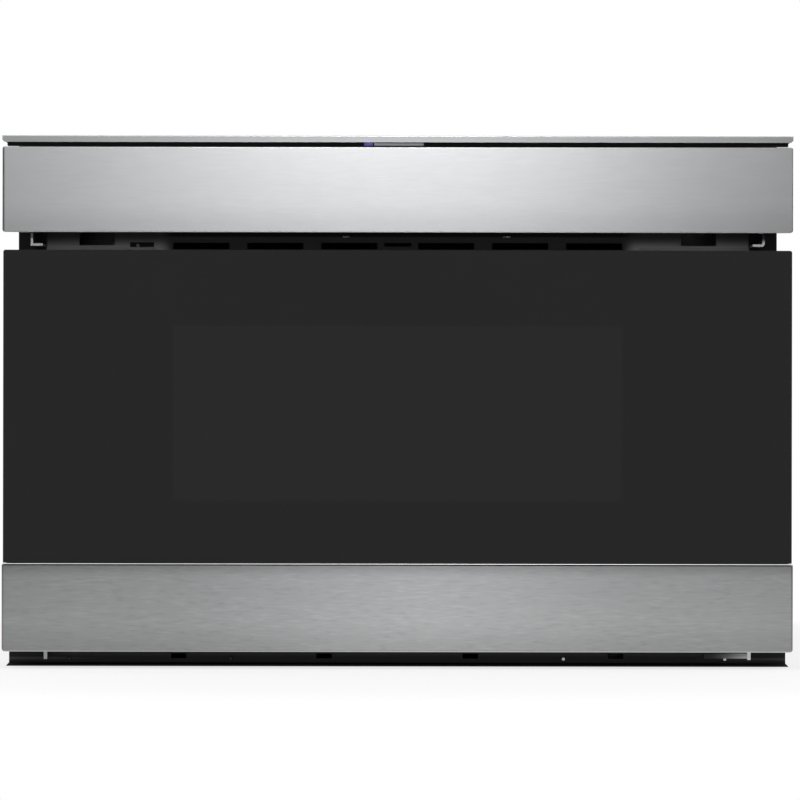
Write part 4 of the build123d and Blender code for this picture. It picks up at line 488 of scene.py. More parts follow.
def black_glass(name, body, window):
    """Black printed glass: with a window, its middle shows the screen behind as a dotted grey."""
    finish = Finish(name)
    x, _, z = finish.axes()
    smear = finish.noise(14.0, 3.0)
    colour = finish.blend(smear, grey(body * 0.8), grey(body * 1.2))
    if window:
        soft = 0.5 * MM
        inside = x.size().fade(WINDOW_HALF_W - soft, WINDOW_HALF_W + soft)
        inside = inside * z.stretch(WINDOW_LOW - soft, WINDOW_LOW + soft)
        inside = inside * z.fade(WINDOW_HIGH - soft, WINDOW_HIGH + soft)
        dot_x = ((x / DOT_PITCH).fraction() - 0.5).size()
        dot_z = ((z / DOT_PITCH).fraction() - 0.5).size()
        dots = ((dot_x * dot_x + dot_z * dot_z) < 0.10) * 0.6 + 0.7
        colour = finish.blend(inside * dots, colour, grey(body + 0.0040))
    return finish.done(Base_Color=colour, Roughness=0.05 + 0.02 * smear, Specular_IOR_Level=0.72)


DRAWER_GLASS = black_glass("black_glass_with_window", 0.0035, True)
TOUCH_GLASS = black_glass("black_touch_glass", 0.003, False)


def clear_glass(name, tint, roughness):
    finish = Finish(name)
    dust = finish.noise(120.0, 3.0)
    return finish.done(
        Base_Color=finish.blend(dust, tint, grey(1.0)),
        Roughness=roughness + 0.03 * dust,
        Transmission_Weight=1.0,
        IOR=1.5,
    )


CLEAR_GLASS = clear_glass("clear_pane", (0.93, 0.97, 0.95, 1.0), 0.02)


def lens_finish(name, colour, glow=None, strength=0.0):
    """Smoked lens, or a lit one."""
    finish = Finish(name)
    haze = finish.noise(600.0, 2.0)
    shade = finish.blend(haze, scaled(colour, 0.85), colour)
    sockets = {"Base_Color": shade, "Roughness": 0.25 + 0.1 * haze}
    if glow:
        sockets.update({"Emission_Color": glow, "Emission_Strength": strength})
    return finish.done(**sockets)


SENSOR_LENS = lens_finish("smoked_lens", (0.42, 0.42, 0.43, 1.0))
BLUE_LIGHT = lens_finish("blue_light", (0.05, 0.045, 0.16, 1.0), (0.16, 0.14, 0.42, 1.0), 0.30)
PRINT_WHITE = lens_finish("printed_white", (0.75, 0.75, 0.75, 1.0), (0.75, 0.78, 0.8, 1.0), 0.25)
CLOCK_LIGHT = lens_finish("clock_light", (0.2, 0.8, 0.9, 1.0), (0.25, 0.85, 1.0, 1.0), 2.0)


def ceramic(name):
    finish = Finish(name)
    speck = finish.noise(1500.0, 2.0).stretch(0.62, 0.70)
    cloud = finish.noise(6.0, 3.0)
    base = finish.blend(cloud, (0.70, 0.69, 0.65, 1.0), (0.76, 0.75, 0.72, 1.0))
    colour = finish.blend(speck * 0.5, base, (0.5, 0.49, 0.46, 1.0))
    return finish.done(Base_Color=colour, Roughness=0.12 + 0.08 * cloud)


def screen_sheet(name):
    """Black sheet with rows of round holes, cut out by Alpha."""
    finish = Finish(name)
    x, _, z = finish.axes()
    across = (x / HOLE_PITCH).fraction() - 0.5
    up = (z / HOLE_PITCH).fraction() - 0.5
    hole = (across * across + up * up) < 0.09
    border = x.size() > WINDOW_HALF_W
    solid = 1 - hole * (1 - border)
    shade = finish.blend(finish.noise(300.0, 2.0), grey(0.02), grey(0.035))
    return finish.done(Base_Color=shade, Metallic=0.6, Roughness=0.4 + 0.1 * hole, Alpha=solid)


CERAMIC = ceramic("glass_ceramic")
SCREEN = screen_sheet("perforated_screen")
print("glass finishes ready")

# %% [markdown]
# ## Finishes for the CAD solids that stay
# Every solid whose shape is right keeps its mesh and only gets a finish. The table below
# gives each finish the names of the solids that wear it.

# %% Dress the CAD solids
WORN_BY = {
    STAINLESS: ["top_trim", "panel_front", "drawer_strip"],
    FRAME_PAINT: ["front_frame"],
    # Black paint on the exhaust duct is painted shade for what shows through the vent slots.
    BLACK_PAINT: ["door_back", "exhaust_duct"],
    TRIM_PAINT: ["bottom_trim"],
    BLACK_BAR: ["sensor_bar"],
    BLACK_PLASTIC: ["panel_housing", "door_frame", "choke_cover", "fan_housing"],
    GALVANISED: ["outer_wrap", "back_plate", "base_plate", "waveguide", "cross_bar"],
    ZINC: [
        "hinge_pins", "rails_outer", "rails_inner", "rail_middle_left", "rail_middle_right",
        "cabinet_screws", "drawer_screws",
    ],
    BRACKET_STEEL: ["hinge_bracket_left", "hinge_bracket_right"],
    TAB_STEEL: ["door_brackets"],
    ALUMINIUM: ["magnetron", "antenna", "hv_capacitor"],
    ENAMEL: ["oven_cavity", "drawer_walls"],
    WHITE_PLASTIC: ["gear_sector", "panel_pinion", "drive_pinion", "drawer_rack", "latch_hooks"],
    BEIGE_PLASTIC: ["drive_motor", "panel_gear_motor", "antenna_motor", "fan_motor"],
    GREY_PLASTIC: ["interlock_switches", "fan_rotor", "oven_lamp", "plunger_left", "plunger_right"],
    RUBBER: ["feet", "cord_gland"],
    BOARD: ["key_board", "control_board"],
    DRAWER_GLASS: ["drawer_glass"],
    TOUCH_GLASS: ["touch_glass", "display_module"],
    CLEAR_GLASS: ["inner_glass"],
    SENSOR_LENS: ["wave_sensor_lens"],
    BLUE_LIGHT: ["status_led"],
    CERAMIC: ["ceramic_floor"],
    MICA: ["antenna_cover"],
    SCREEN: ["window_screen"],
    VARNISH: ["hv_transformer"],
}
dressed = set()
for finish, nodes in WORN_BY.items():
    for node in nodes:
        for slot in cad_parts[node].material_slots:
            slot.material = finish
        dressed.add(node)
print("dressed", len(dressed), "solids; bare:", sorted(set(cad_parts) - dressed))

# %% [markdown]
# ## Building pieces
# Each new piece starts as a box, a flat outline or a circle, which operators then fold, cut
# and round. The helpers below start a shape and hand the finished mesh to its body.


# %% Mesh helpers
NEAR = 0.01 * MM


def box_shape(low, high):
    """A closed box between two corners."""
    shape = bmesh.new()
    size, middle = Vector(high) - Vector(low), (Vector(high) + Vector(low)) / 2
    place = Matrix.Translation(middle) @ Matrix.Diagonal((*size, 1.0))
    bmesh.ops.create_cube(shape, size=1.0, matrix=place)
    return shape


def middle_of(edge):
    return (edge.verts[0].co + edge.verts[1].co) / 2


def round_edges(shape, edges, radius, segments):
    bmesh.ops.bevel(
        shape, geom=edges, offset=radius, offset_type="OFFSET", segments=segments, profile=0.5,
        affect="EDGES", material=-1,
    )


def round_along(shape, axis, radius, segments, test=lambda middle: True):
    """Round the edges that run along an axis and whose middle passes a test."""
    found = []
    for edge in shape.edges:
        run = edge.verts[1].co - edge.verts[0].co
        if abs(run[axis]) > 0.999 * run.length and test(middle_of(edge)):
            found.append(edge)
    round_edges(shape, found, radius, segments)


def round_sharp(shape, radius, segments, test):
    """Round edges where faces turn by over 40 degrees and whose middle passes a test."""
    shape.normal_update()
    found = [
        edge
        for edge in shape.edges
        if len(edge.link_faces) == 2
        and edge.calc_face_angle(0.0) > math.radians(40)
        and test(middle_of(edge))
    ]
    round_edges(shape, found, radius, segments)


def drop_faces(shape, test):
    """Delete the faces whose middle and normal pass a test."""
    shape.normal_update()
    gone = [face for face in shape.faces if test(face.calc_center_median(), face.normal)]
    bmesh.ops.delete(shape, geom=gone, context="FACES")


def give_thickness(shape, wall):
    """Turn an open sheet into a plate: its outside stays where it is."""
    bmesh.ops.recalc_face_normals(shape, faces=shape.faces)
    bmesh.ops.solidify(shape, geom=shape.faces, thickness=wall)


def loose_ring(shape, segments, radius, place):
    """Circle of loose edges: its vertices and its edges."""
    made = bmesh.ops.create_circle(
        shape, cap_ends=False, segments=segments, radius=radius, matrix=place
    )
    edges = dict.fromkeys(edge for vert in made["verts"] for edge in vert.link_edges)
    return made["verts"], list(edges)


def of_kind(geometry, kind):
    return [item for item in geometry if isinstance(item, kind)]


def pull(shape, edges):
    """Extrude loose edges or a border: the new vertices and the new border."""
    pulled = bmesh.ops.extrude_edge_only(shape, edges=edges)["geom"]
    border = [edge for edge in of_kind(pulled, bmesh.types.BMEdge) if edge.is_boundary]
    return of_kind(pulled, bmesh.types.BMVert), border


def hold_flat(shape):
    """Frame each broad face with a narrow one, so that smooth shading leaves its middle flat."""
    broad = [face for face in shape.faces if face.calc_area() > 40 * MM * MM]
    bmesh.ops.inset_individual(shape, faces=broad, thickness=0.15 * MM, use_even_offset=True)


def finish_piece(shape, name, finish, body, stands_for=(), smooth=35.0, flat=True):
    """Make the object, let it ride on its body and hide the solids that it stands for."""
    if flat:
        hold_flat(shape)
    mesh = bpy.data.meshes.new(name)
    shape.to_mesh(mesh)
    shape.free()
    for polygon in mesh.polygons:
        polygon.use_smooth = True
    mesh.set_sharp_from_angle(angle=math.radians(smooth))
    mesh.materials.append(finish)
    piece = add_object(name, mesh)
    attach(piece, body)
    if stands_for:
        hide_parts(*stands_for)
    print(name, "faces:", len(mesh.polygons), "on", body)


print("mesh helpers ready")

# %% [markdown]
# ## Folded stainless faces
# The control panel's face, the cap over it and the strip under the glass are 1 mm sheet with
# the edges turned back. A box gets its corners rounded, loses the sides that the real sheet
# leaves open, and gets its wall with solidify. The front edges are softened last.

# %% Folded sheet
SHEET = 1.0 * MM


def folded_face(node, corners, bend, open_sides, trim=None):
    """Sheet face that fills a node's box: corners holds the radii below and above."""
    low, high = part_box(node)
    shape = box_shape(low, high)
    half_way = (low.z + high.z) / 2
    round_along(shape, 1, corners[0], 4, lambda middle: middle.z < half_way)
    round_along(shape, 1, corners[1], 4, lambda middle: middle.z > half_way)
    drop_faces(shape, open_sides)
    if trim:
        trim(shape, low, high)
    give_thickness(shape, SHEET)
    round_sharp(shape, bend, 3, lambda middle: middle.y < low.y + NEAR)
    return shape


def open_panel(centre, normal):
    return normal.y > 0.9 or abs(normal.z) > 0.9


def open_back(centre, normal):
    return normal.y > 0.9


panel_shape = folded_face("panel_front", (2.2 * MM, 1.6 * MM), 0.55 * MM, open_panel)
finish_piece(panel_shape, "panel_face_sheet", PANEL_STEEL, "control_panel", ["panel_front"])


def cut_top_return(shape, low, high):
    """The upper return stops behind the glass, where the carrier takes over."""
    behind, under = low.y + 6 * MM, high.z - 2 * MM
    for point, normal in (((0, behind, 0), (0, 1, 0)), ((0, 0, under), (0, 0, 1))):
        geometry = shape.verts[:] + shape.edges[:] + shape.faces[:]
        bmesh.ops.bisect_plane(shape, geom=geometry, plane_co=point, plane_no=normal)
    drop_faces(shape, lambda centre, normal: centre.y > behind and centre.z > under)


strip_shape = folded_face("drawer_strip", (2.4 * MM, 1.3 * MM), 1.3 * MM, open_back, cut_top_return)
finish_piece(strip_shape, "drawer_strip_sheet", STRIP_STEEL, "drawer", ["drawer_strip"])

# %% [markdown]
# The cap is seen edge on: a lip 5 mm high whose lower corners are cut at a slant. It starts as
# a box, loses its back and its underside, and its lip leans back by two degrees.

# %% Top cap
CAP_LOW, CAP_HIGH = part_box("top_trim")
CAP_CUT, CAP_LEAN = 1.6 * MM, math.radians(2.0)
cap = box_shape(CAP_LOW, CAP_HIGH)
round_along(cap, 1, CAP_CUT, 1, lambda middle: middle.z < CAP_LOW.z + NEAR)
drop_faces(cap, lambda centre, normal: normal.y > 0.9 or normal.z < -0.3)
for vert in cap.verts:
    if vert.co.y < CAP_LOW.y + NEAR and vert.co.z < CAP_HIGH.z - NEAR:
        vert.co.y += (CAP_HIGH.z - vert.co.z) * math.tan(CAP_LEAN)
give_thickness(cap, SHEET)
round_sharp(
    cap, 0.4 * MM, 3,
    lambda middle: middle.y < CAP_LOW.y + NEAR and middle.z > CAP_HIGH.z - NEAR,
)
finish_piece(cap, "top_cap_sheet", STAINLESS, "cabinet", ["top_trim"])

# %% [markdown]
# ## The drawer's glass
# One pane, 4 mm thick. Its corners are rounded, and its front edge has a narrow polished
# bevel at the sides and the bottom, which catches the light as a thin line.

# %% Drawer glass
PANE_LOW, PANE_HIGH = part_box("drawer_glass")
pane = box_shape(PANE_LOW, PANE_HIGH)
pane_middle = (PANE_LOW.z + PANE_HIGH.z) / 2
round_along(pane, 1, 1.6 * MM, 4, lambda middle: middle.z > pane_middle)
round_along(pane, 1, 0.6 * MM, 2, lambda middle: middle.z < pane_middle)
round_sharp(
    pane, 0.25 * MM, 2,
    lambda middle: middle.y < PANE_LOW.y + NEAR and middle.z < PANE_HIGH.z - NEAR,
)
finish_piece(pane, "drawer_glass_pane", DRAWER_GLASS, "drawer", ["drawer_glass"])

# %% [markdown]
# ## Light and sensor in the black bar
# Two small windows sit in the bar: a blue light and the grey lens of the hand sensor. Each is
# a rounded block that stands a little proud of the bar.

# %% Lens and light
for node, finish in (("wave_sensor_lens", SENSOR_LENS), ("status_led", BLUE_LIGHT)):
    low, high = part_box(node)
    lens = box_shape(low, high)
    round_along(lens, 1, 0.6 * MM, 3)
    round_sharp(lens, 0.25 * MM, 2, lambda middle: middle.y < low.y + NEAR)
    finish_piece(lens, node + "_window", finish, "cabinet", [node])

# %% [markdown]
# ## Small things in the gap
# The gap under the control panel shows two ledges, pale with a painted highlight, and two
# bright hooks of the wiring harness. Under the drawer, a short lip stands on the right bracket,
# with a painted highlight streak. All are rounded bars.

# %% Ledges and hooks
FRAME_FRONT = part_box("front_frame")[1].y - 2 * MM
LEDGE_INNER, LEDGE_OUTER, LEDGE_Z = 187 * MM, 272.1 * MM, (322.2 * MM, 324.8 * MM)
HOOK_HALF_W, HOOK_Z = 3 * MM, (332.2 * MM, 333.6 * MM)


def rounded_bar(name, low, high, radius, finish, body):
    shape = box_shape(low, high)
    round_edges(shape, shape.edges[:], radius, 3)
    finish_piece(shape, name, finish, body)


# The ledges' pale paint is a painted highlight.
for side, name in ((-1, "left"), (1, "right")):
    ends = sorted((side * LEDGE_INNER, side * LEDGE_OUTER))
    low = (ends[0], FRAME_FRONT - 2.05 * MM, LEDGE_Z[0])
    high = (ends[1], FRAME_FRONT + 0.5 * MM, LEDGE_Z[1])
    rounded_bar("frame_ledge_" + name, low, high, 0.5 * MM, LEDGE_HIGHLIGHT_PAINT, "cabinet")
for x, name in ((-40.3 * MM, "left"), (84.5 * MM, "right")):
    low = (x - HOOK_HALF_W, FRAME_FRONT - 3.6 * MM, HOOK_Z[0])
    high = (x + HOOK_HALF_W, FRAME_FRONT + 0.3 * MM, HOOK_Z[1])
    rounded_bar("harness_hook_" + name, low, high, 0.5 * MM, ZINC, "cabinet")
tabs_low, tabs_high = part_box("door_brackets")
low = (tabs_high.x - 36 * MM, tabs_low.y + 0.2 * MM, 6.3 * MM)
high = (tabs_high.x - 2.8 * MM, tabs_low.y + 2.6 * MM, 10.6 * MM)
rounded_bar("bracket_lip", low, high, 0.4 * MM, LIP_STEEL, "drawer")
print("ledges, hooks and lip placed")

# %% [markdown]
# The right hinge bracket is bent round, not sharply like its solid. A copy of the solid's mesh
# is merged, its flat faces are joined up, and both edges of the bend are rounded.

# %% Bent bracket
WEB_X, FOOT_WALL = (280 * MM, 283 * MM), 1.8 * MM


def merged_copy(node):
    """Copy of a solid's mesh with its vertices joined."""
    copy = bmesh.new()
    copy.from_mesh(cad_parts[node].data)
    copy.transform(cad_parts[node].matrix_world)
    bmesh.ops.remove_doubles(copy, verts=copy.verts, dist=0.001 * MM)
    return copy


bent = merged_copy("hinge_bracket_right")
bmesh.ops.dissolve_limit(bent, angle_limit=math.radians(0.5), verts=bent.verts, edges=bent.edges)
foot_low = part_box("hinge_bracket_right")[0].z
for level, radius in ((foot_low, 2.2 * MM), (foot_low + FOOT_WALL, 1.0 * MM)):
    round_along(
        bent, 1, radius, 5,
        lambda middle: abs(middle.z - level) < 0.05 * MM and WEB_X[0] < middle.x < WEB_X[1],
    )
bmesh.ops.triangulate(bent, faces=bent.faces)
bmesh.ops.recalc_face_normals(bent, faces=bent.faces)
finish_piece(
    bent, "hinge_bracket_bent", BRACKET_STEEL, "cabinet", ["hinge_bracket_right"],
    flat=False, smooth=25.0,
)

# %% [markdown]
# ## The case
# The cover is one sheet folded over both sides and the top. Each side is a flat outline with
# its air slots as inner outlines, filled with triangles. A large shallow dish is pressed into
# each side and the top, which keeps thin sheet from drumming.


# %% Outlines and dishes
def outline(shape, centre, size, radius, facing, segments=24):
    """Rounded rectangle of loose edges, on a plane that faces an axis."""
    first, second = [axis for axis in range(3) if axis != facing]
    turn = Matrix.Rotation(math.pi / segments, 4, "Z")
    verts, edges = loose_ring(shape, segments, radius, turn)
    for vert in verts:
        flat = vert.co.copy()
        place = Vector(centre)
        place[first] += flat.x + math.copysign(size[0] / 2 - radius, flat.x)
        place[second] += flat.y + math.copysign(size[1] / 2 - radius, flat.y)
        vert.co = place
    return edges


def press_dish(shape, edges, inward, inset, depth):
    """Press what an outline encloses inward: a sloping wall and a flat bottom."""
    verts, border = pull(shape, edges)
    middle = sum((vert.co for vert in verts), Vector()) / len(verts)
    for vert in verts:
        for axis in range(3):
            if abs(inward[axis]) < 0.5:
                vert.co[axis] -= math.copysign(inset, vert.co[axis] - middle[axis])
        vert.co += inward * depth
    bmesh.ops.edgeloop_fill(shape, edges=border)


def cut_flat(shape, border, holes):
    """Fill a border outline, leaving the holes open."""
    edges = list(border) + [edge for hole in holes for edge in hole]
    bmesh.ops.triangle_fill(shape, edges=edges, use_beauty=True, use_dissolve=False)


print("outline and dish helpers ready")

# %% Case cover
WRAP_LOW, WRAP_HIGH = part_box("outer_wrap")
SLOT_SIZE, SLOT_PITCH, SLOT_ROWS, SLOT_ROUND = (40 * MM, 4 * MM), 11 * MM, 6, 1.95 * MM
SLOT_INSET, SLOT_DROP = 60 * MM, 38 * MM
SIDE_DISH, TOP_DISH = (300 * MM, 190 * MM), (440 * MM, 460 * MM)
cover = box_shape(WRAP_LOW, WRAP_HIGH)
drop_faces(cover, lambda centre, normal: abs(normal.y) > 0.9 or normal.z < -0.9)
round_along(cover, 1, 3 * MM, 5, lambda middle: middle.z > WRAP_HIGH.z - NEAR)
cover.normal_update()
for facing, side in ((0, -1), (0, 1), (2, 1)):
    flats = [f for f in cover.faces if f.normal[facing] * side > 0.99 and f.calc_area() > 0.01]
    border = list(dict.fromkeys(edge for face in flats for edge in face.edges))
    bmesh.ops.delete(cover, geom=flats, context="FACES_ONLY")
    level = WRAP_HIGH[facing] if side > 0 else WRAP_LOW[facing]
    centre = (WRAP_LOW + WRAP_HIGH) / 2
    centre[facing] = level
    holes = []
    if facing == 0:
        for row in range(SLOT_ROWS):
            for y in (WRAP_LOW.y + SLOT_INSET, WRAP_HIGH.y - SLOT_INSET):
                place = (level, y, WRAP_HIGH.z - SLOT_DROP - row * SLOT_PITCH)
                holes.append(outline(cover, place, SLOT_SIZE, SLOT_ROUND, 0, 16))
    dish_size = SIDE_DISH if facing == 0 else TOP_DISH
    dish = outline(cover, centre, dish_size, 18 * MM, facing, 32)
    cut_flat(cover, border, holes + [dish])
    inward = Vector((0, 0, 0))
    inward[facing] = -side
    press_dish(cover, dish, inward, 2.5 * MM, 1.5 * MM)
give_thickness(cover, SHEET)
finish_piece(cover, "case_cover", GALVANISED, "cabinet", ["outer_wrap"], flat=False, smooth=20.0)

# %% [markdown]
# The rear sheet is built alike: one outline, with slots and the hole of the cord as inner
# outlines, and three narrow beads pressed in to stiffen it.

# %% Case rear
REAR_LOW, REAR_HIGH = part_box("back_plate")
REAR_SLOT_X, REAR_SLOT_Z = (158 * MM, 202 * MM), 121 * MM
REAR_BEADS = ((0, 346, 440, 12), (0, 40, 440, 12), (-20, 190, 12, 200))
GLAND_HOLE, GLAND_ROUND = (22.1 * MM, 22.1 * MM), 11.0 * MM
GLAND_LOW, GLAND_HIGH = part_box("cord_gland")
GLAND_PLACE = (GLAND_LOW + GLAND_HIGH) / 2
GLAND_PLACE.y = REAR_HIGH.y
rear = bmesh.new()
rear_middle = (REAR_LOW + REAR_HIGH) / 2
rear_middle.y = REAR_HIGH.y
rear_size = (REAR_HIGH.x - REAR_LOW.x, REAR_HIGH.z - REAR_LOW.z)
rear_border = outline(rear, rear_middle, rear_size, 2 * MM, 1)
holes = [outline(rear, GLAND_PLACE, GLAND_HOLE, GLAND_ROUND, 1, 32)]
for row in range(SLOT_ROWS):
    for x in REAR_SLOT_X:
        place = (x, REAR_HIGH.y, REAR_SLOT_Z + row * SLOT_PITCH)
        holes.append(outline(rear, place, SLOT_SIZE, SLOT_ROUND, 1, 16))
beads = [
    outline(rear, (x * MM, REAR_HIGH.y, z * MM), (width * MM, height * MM), 5 * MM, 1, 24)
    for x, z, width, height in REAR_BEADS
]
cut_flat(rear, rear_border, holes + beads)
for bead in beads:
    press_dish(rear, bead, Vector((0, -1, 0)), 1.5 * MM, 1.2 * MM)
give_thickness(rear, SHEET)
finish_piece(rear, "case_rear", GALVANISED, "cabinet", ["back_plate"], flat=False, smooth=20.0)

# %% [markdown]
# ## Cord grommet
# The grommet is round. It starts as a circle, and its rim is pulled from ring to ring, as a
# lathe would follow a profile, until it is back at the first ring.

# %% Cord grommet
GLAND_RINGS = (
    (15.0, 0.0), (15.0, 1.2), (14.2, 2.0), (8.0, 2.0), (7.4, 1.4), (5.2, 1.4), (4.5, 0.8),
    (4.5, -12.0), (10.6, -12.0), (10.9, -11.0), (10.9, -3.0), (10.2, -2.6), (10.2, -1.2),
    (10.9, -0.8), (10.9, 0.0), (15.0, 0.0),
)
gland = bmesh.new()
_, rim = loose_ring(gland, 40, GLAND_RINGS[0][0] * MM, Matrix.Identity(4))
for radius, level in GLAND_RINGS[1:]:
    verts, rim = pull(gland, rim)
    for vert in verts:
        vert.co = Vector((*(vert.co.xy.normalized() * radius * MM), level * MM))
bmesh.ops.remove_doubles(gland, verts=gland.verts, dist=0.005 * MM)
bmesh.ops.recalc_face_normals(gland, faces=gland.faces)
gland.transform(Matrix.Translation(GLAND_PLACE) @ Matrix.Rotation(math.radians(-90), 4, "X"))
finish_piece(gland, "cord_grommet", RUBBER, "cabinet", ["cord_gland"], flat=False)

# %% [markdown]
# ## The tray
# The oven tray is three walls and a ledge in one deep-drawn shell, with round corners at the
# back and a rim turned outward. The ceramic floor lies on the ledge and follows the corners.

# %% Tray and floor
TRAY_LOW, TRAY_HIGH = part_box("drawer_walls")
TRAY_WALL, TRAY_LIP, TRAY_ROUND, TRAY_LEDGE = 1.2 * MM, 3 * MM, 16 * MM, 12 * MM
tray_low = TRAY_LOW + Vector((TRAY_LIP, 0, 0))
tray_high = TRAY_HIGH - Vector((TRAY_LIP, TRAY_LIP, TRAY_WALL))
tray = box_shape(tray_low, tray_high)
round_along(tray, 2, TRAY_ROUND, 8, lambda middle: middle.y > 0)
drop_faces(tray, lambda centre, normal: normal.z > 0.9 or normal.y < -0.9)
bottom = [face for face in tray.faces if face.normal.z < -0.9]
bmesh.ops.inset_region(
    tray, faces=bottom, thickness=TRAY_LEDGE, use_boundary=True, use_even_offset=True
)
bmesh.ops.delete(tray, geom=[face for face in bottom if face.is_valid], context="FACES")
round_sharp(
    tray, 1.5 * MM, 3,
    lambda middle: middle.z < tray_low.z + NEAR and middle.y > tray_low.y + NEAR,
)
lip = [e for e in tray.edges if e.is_boundary and min(v.co.z for v in e.verts) > tray_high.z - NEAR]
for vert in pull(tray, lip)[0]:
    core = Vector((
        max(tray_low.x + TRAY_ROUND, min(tray_high.x - TRAY_ROUND, vert.co.x)),
        min(tray_high.y - TRAY_ROUND, vert.co.y), vert.co.z,
    ))
    vert.co += (vert.co - core).normalized() * TRAY_LIP
give_thickness(tray, TRAY_WALL)
finish_piece(tray, "tray_shell", ENAMEL, "drawer", ["drawer_walls"], flat=False)

plate_low, plate_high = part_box("ceramic_floor")
plate = box_shape(plate_low, plate_high)
round_along(plate, 2, 14 * MM, 8, lambda middle: middle.y > 0)
round_sharp(plate, 0.8 * MM, 3, lambda middle: middle.z > plate_high.z - NEAR)
finish_piece(plate, "ceramic_plate", CERAMIC, "drawer", ["ceramic_floor"])

# %% [markdown]
# ## Touch glass
# The keys are printed on a glass that slopes down to the back, and can be used when the panel
# has tilted open. The glass is built flat and then turned into place. The print lies on it:
# plain digits, a clock of seven-bar figures and simple shapes for the keys.

# %% Touch glass
TOUCH_LOW, TOUCH_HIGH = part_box("touch_glass")
TOUCH_SLOPE, TOUCH_LENGTH, TOUCH_THICK = math.radians(29), 57 * MM, 3 * MM
PRINT_T, ROW_Y = 0.04 * MM, 28 * MM
touch_y = TOUCH_LOW.y + TOUCH_THICK * math.sin(TOUCH_SLOPE)
slope = Matrix.Rotation(-TOUCH_SLOPE, 4, "X")
touch_place = Matrix.Translation((0, touch_y, TOUCH_HIGH.z)) @ slope
touch = box_shape((TOUCH_LOW.x, 0, -TOUCH_THICK), (TOUCH_HIGH.x, TOUCH_LENGTH, 0))
round_along(touch, 2, 2 * MM, 5)
round_sharp(touch, 0.5 * MM, 3, lambda middle: middle.z > -NEAR)
hold_flat(touch)
touch.transform(touch_place)
finish_piece(touch, "touch_glass_pane", TOUCH_GLASS, "control_panel", ["touch_glass"], flat=False)


def printed(name, shape, finish):
    """Lay flat faces on the glass as a thin layer of print."""
    bmesh.ops.recalc_face_normals(shape, faces=shape.faces)
    shape.normal_update()
    turned_down = [face for face in shape.faces if face.normal.z < 0]
    bmesh.ops.reverse_faces(shape, faces=turned_down)
    for vert in shape.verts:
        vert.co.z = PRINT_T
    shape.transform(touch_place)
    finish_piece(shape, name, finish, "control_panel", flat=False)


def bar(shape, x, y, width, height):
    """Flat rectangle by its centre."""
    place = Matrix.Translation((x, y, 0)) @ Matrix.Diagonal((width, height, 1.0, 1.0))
    bmesh.ops.create_grid(shape, x_segments=1, y_segments=1, size=0.5, matrix=place)


SEVEN_BARS = {"0": "abcdef", "1": "bc", "2": "abged"}
BAR_PLACES = {
    "a": (0, 1, True), "g": (0, 0, True), "d": (0, -1, True),
    "f": (-1, 0.5, False), "b": (1, 0.5, False), "e": (-1, -0.5, False), "c": (1, -0.5, False),
}


def seven_bar_figure(shape, digit, x, y, half):
    """Clock figure: half is the half height of the figure."""
    for letter in SEVEN_BARS[digit]:
        side, level, lying = BAR_PLACES[letter]
        size = (half * 0.70, half * 0.16) if lying else (half * 0.16, half * 0.75)
        bar(shape, x + side * half * 0.48, y + level * half, *size)


clock = bmesh.new()
for digit, x in zip("1200", (-17, -7, 7, 17)):
    seven_bar_figure(clock, digit, x * MM, ROW_Y, 6 * MM)
for y in (26 * MM, 30 * MM):
    bar(clock, 0.0, y, 1.0 * MM, 1.0 * MM)
printed("clock_figures", clock, CLOCK_LIGHT)

# %% [markdown]
# The digits come from the built-in font, two rows of five. Start and stop are a triangle and
# a square, then follow minus, plus, and an eject sign that opens the drawer.

# %% Printed keys
FIRST_DIGIT, DIGIT_PITCH = (-205, 38), (26, 20)
KEY_BARS = (
    (205, 23, 6.4, 0.9), (165, 28, 7, 1.1), (185, 28, 7, 1.1), (185, 30.03, 1.1, 2.94),
    (185, 25.97, 1.1, 2.94),
)
figures = bmesh.new()
for number, digit in enumerate("1234567890"):
    column, row = number % 5, number // 5
    letter = bpy.data.curves.new("digit", "FONT")
    letter.body = digit
    letter.size = 9 * MM
    letter.align_x, letter.align_y = "CENTER", "CENTER"
    stand = bpy.data.objects.new("digit", letter)
    flat_digit = bpy.data.meshes.new_from_object(stand)
    x, y = FIRST_DIGIT[0] + DIGIT_PITCH[0] * column, FIRST_DIGIT[1] - DIGIT_PITCH[1] * row
    flat_digit.transform(Matrix.Translation((x * MM, y * MM, 0)))
    figures.from_mesh(flat_digit)
    bpy.data.objects.remove(stand)
    bpy.data.curves.remove(letter)
    bpy.data.meshes.remove(flat_digit)
for x, corners, turn in ((105, 3, -90), (135, 4, 45), (205, 3, 0)):
    spot = Matrix.Translation((x * MM, ROW_Y, 0)) @ Matrix.Rotation(math.radians(turn), 4, "Z")
    bmesh.ops.create_circle(figures, cap_ends=True, segments=corners, radius=3.6 * MM, matrix=spot)
for measures in KEY_BARS:
    bar(figures, *(measure * MM for measure in measures))
printed("printed_keys", figures, PRINT_WHITE)

# %% [markdown]
# ## Screws
# A pan head starts as a circle round a cross. The ring between them is filled with
# triangles, the cross is pressed in and the rim is pulled down in three steps, which gives
# the low dome. The CAD solids say where each screw sits: the wide end is its head.

# %% Screw heads
RECESS_SHARE, CROSS_SHARE, DOME_SHARE = 0.55, 0.30, 0.72


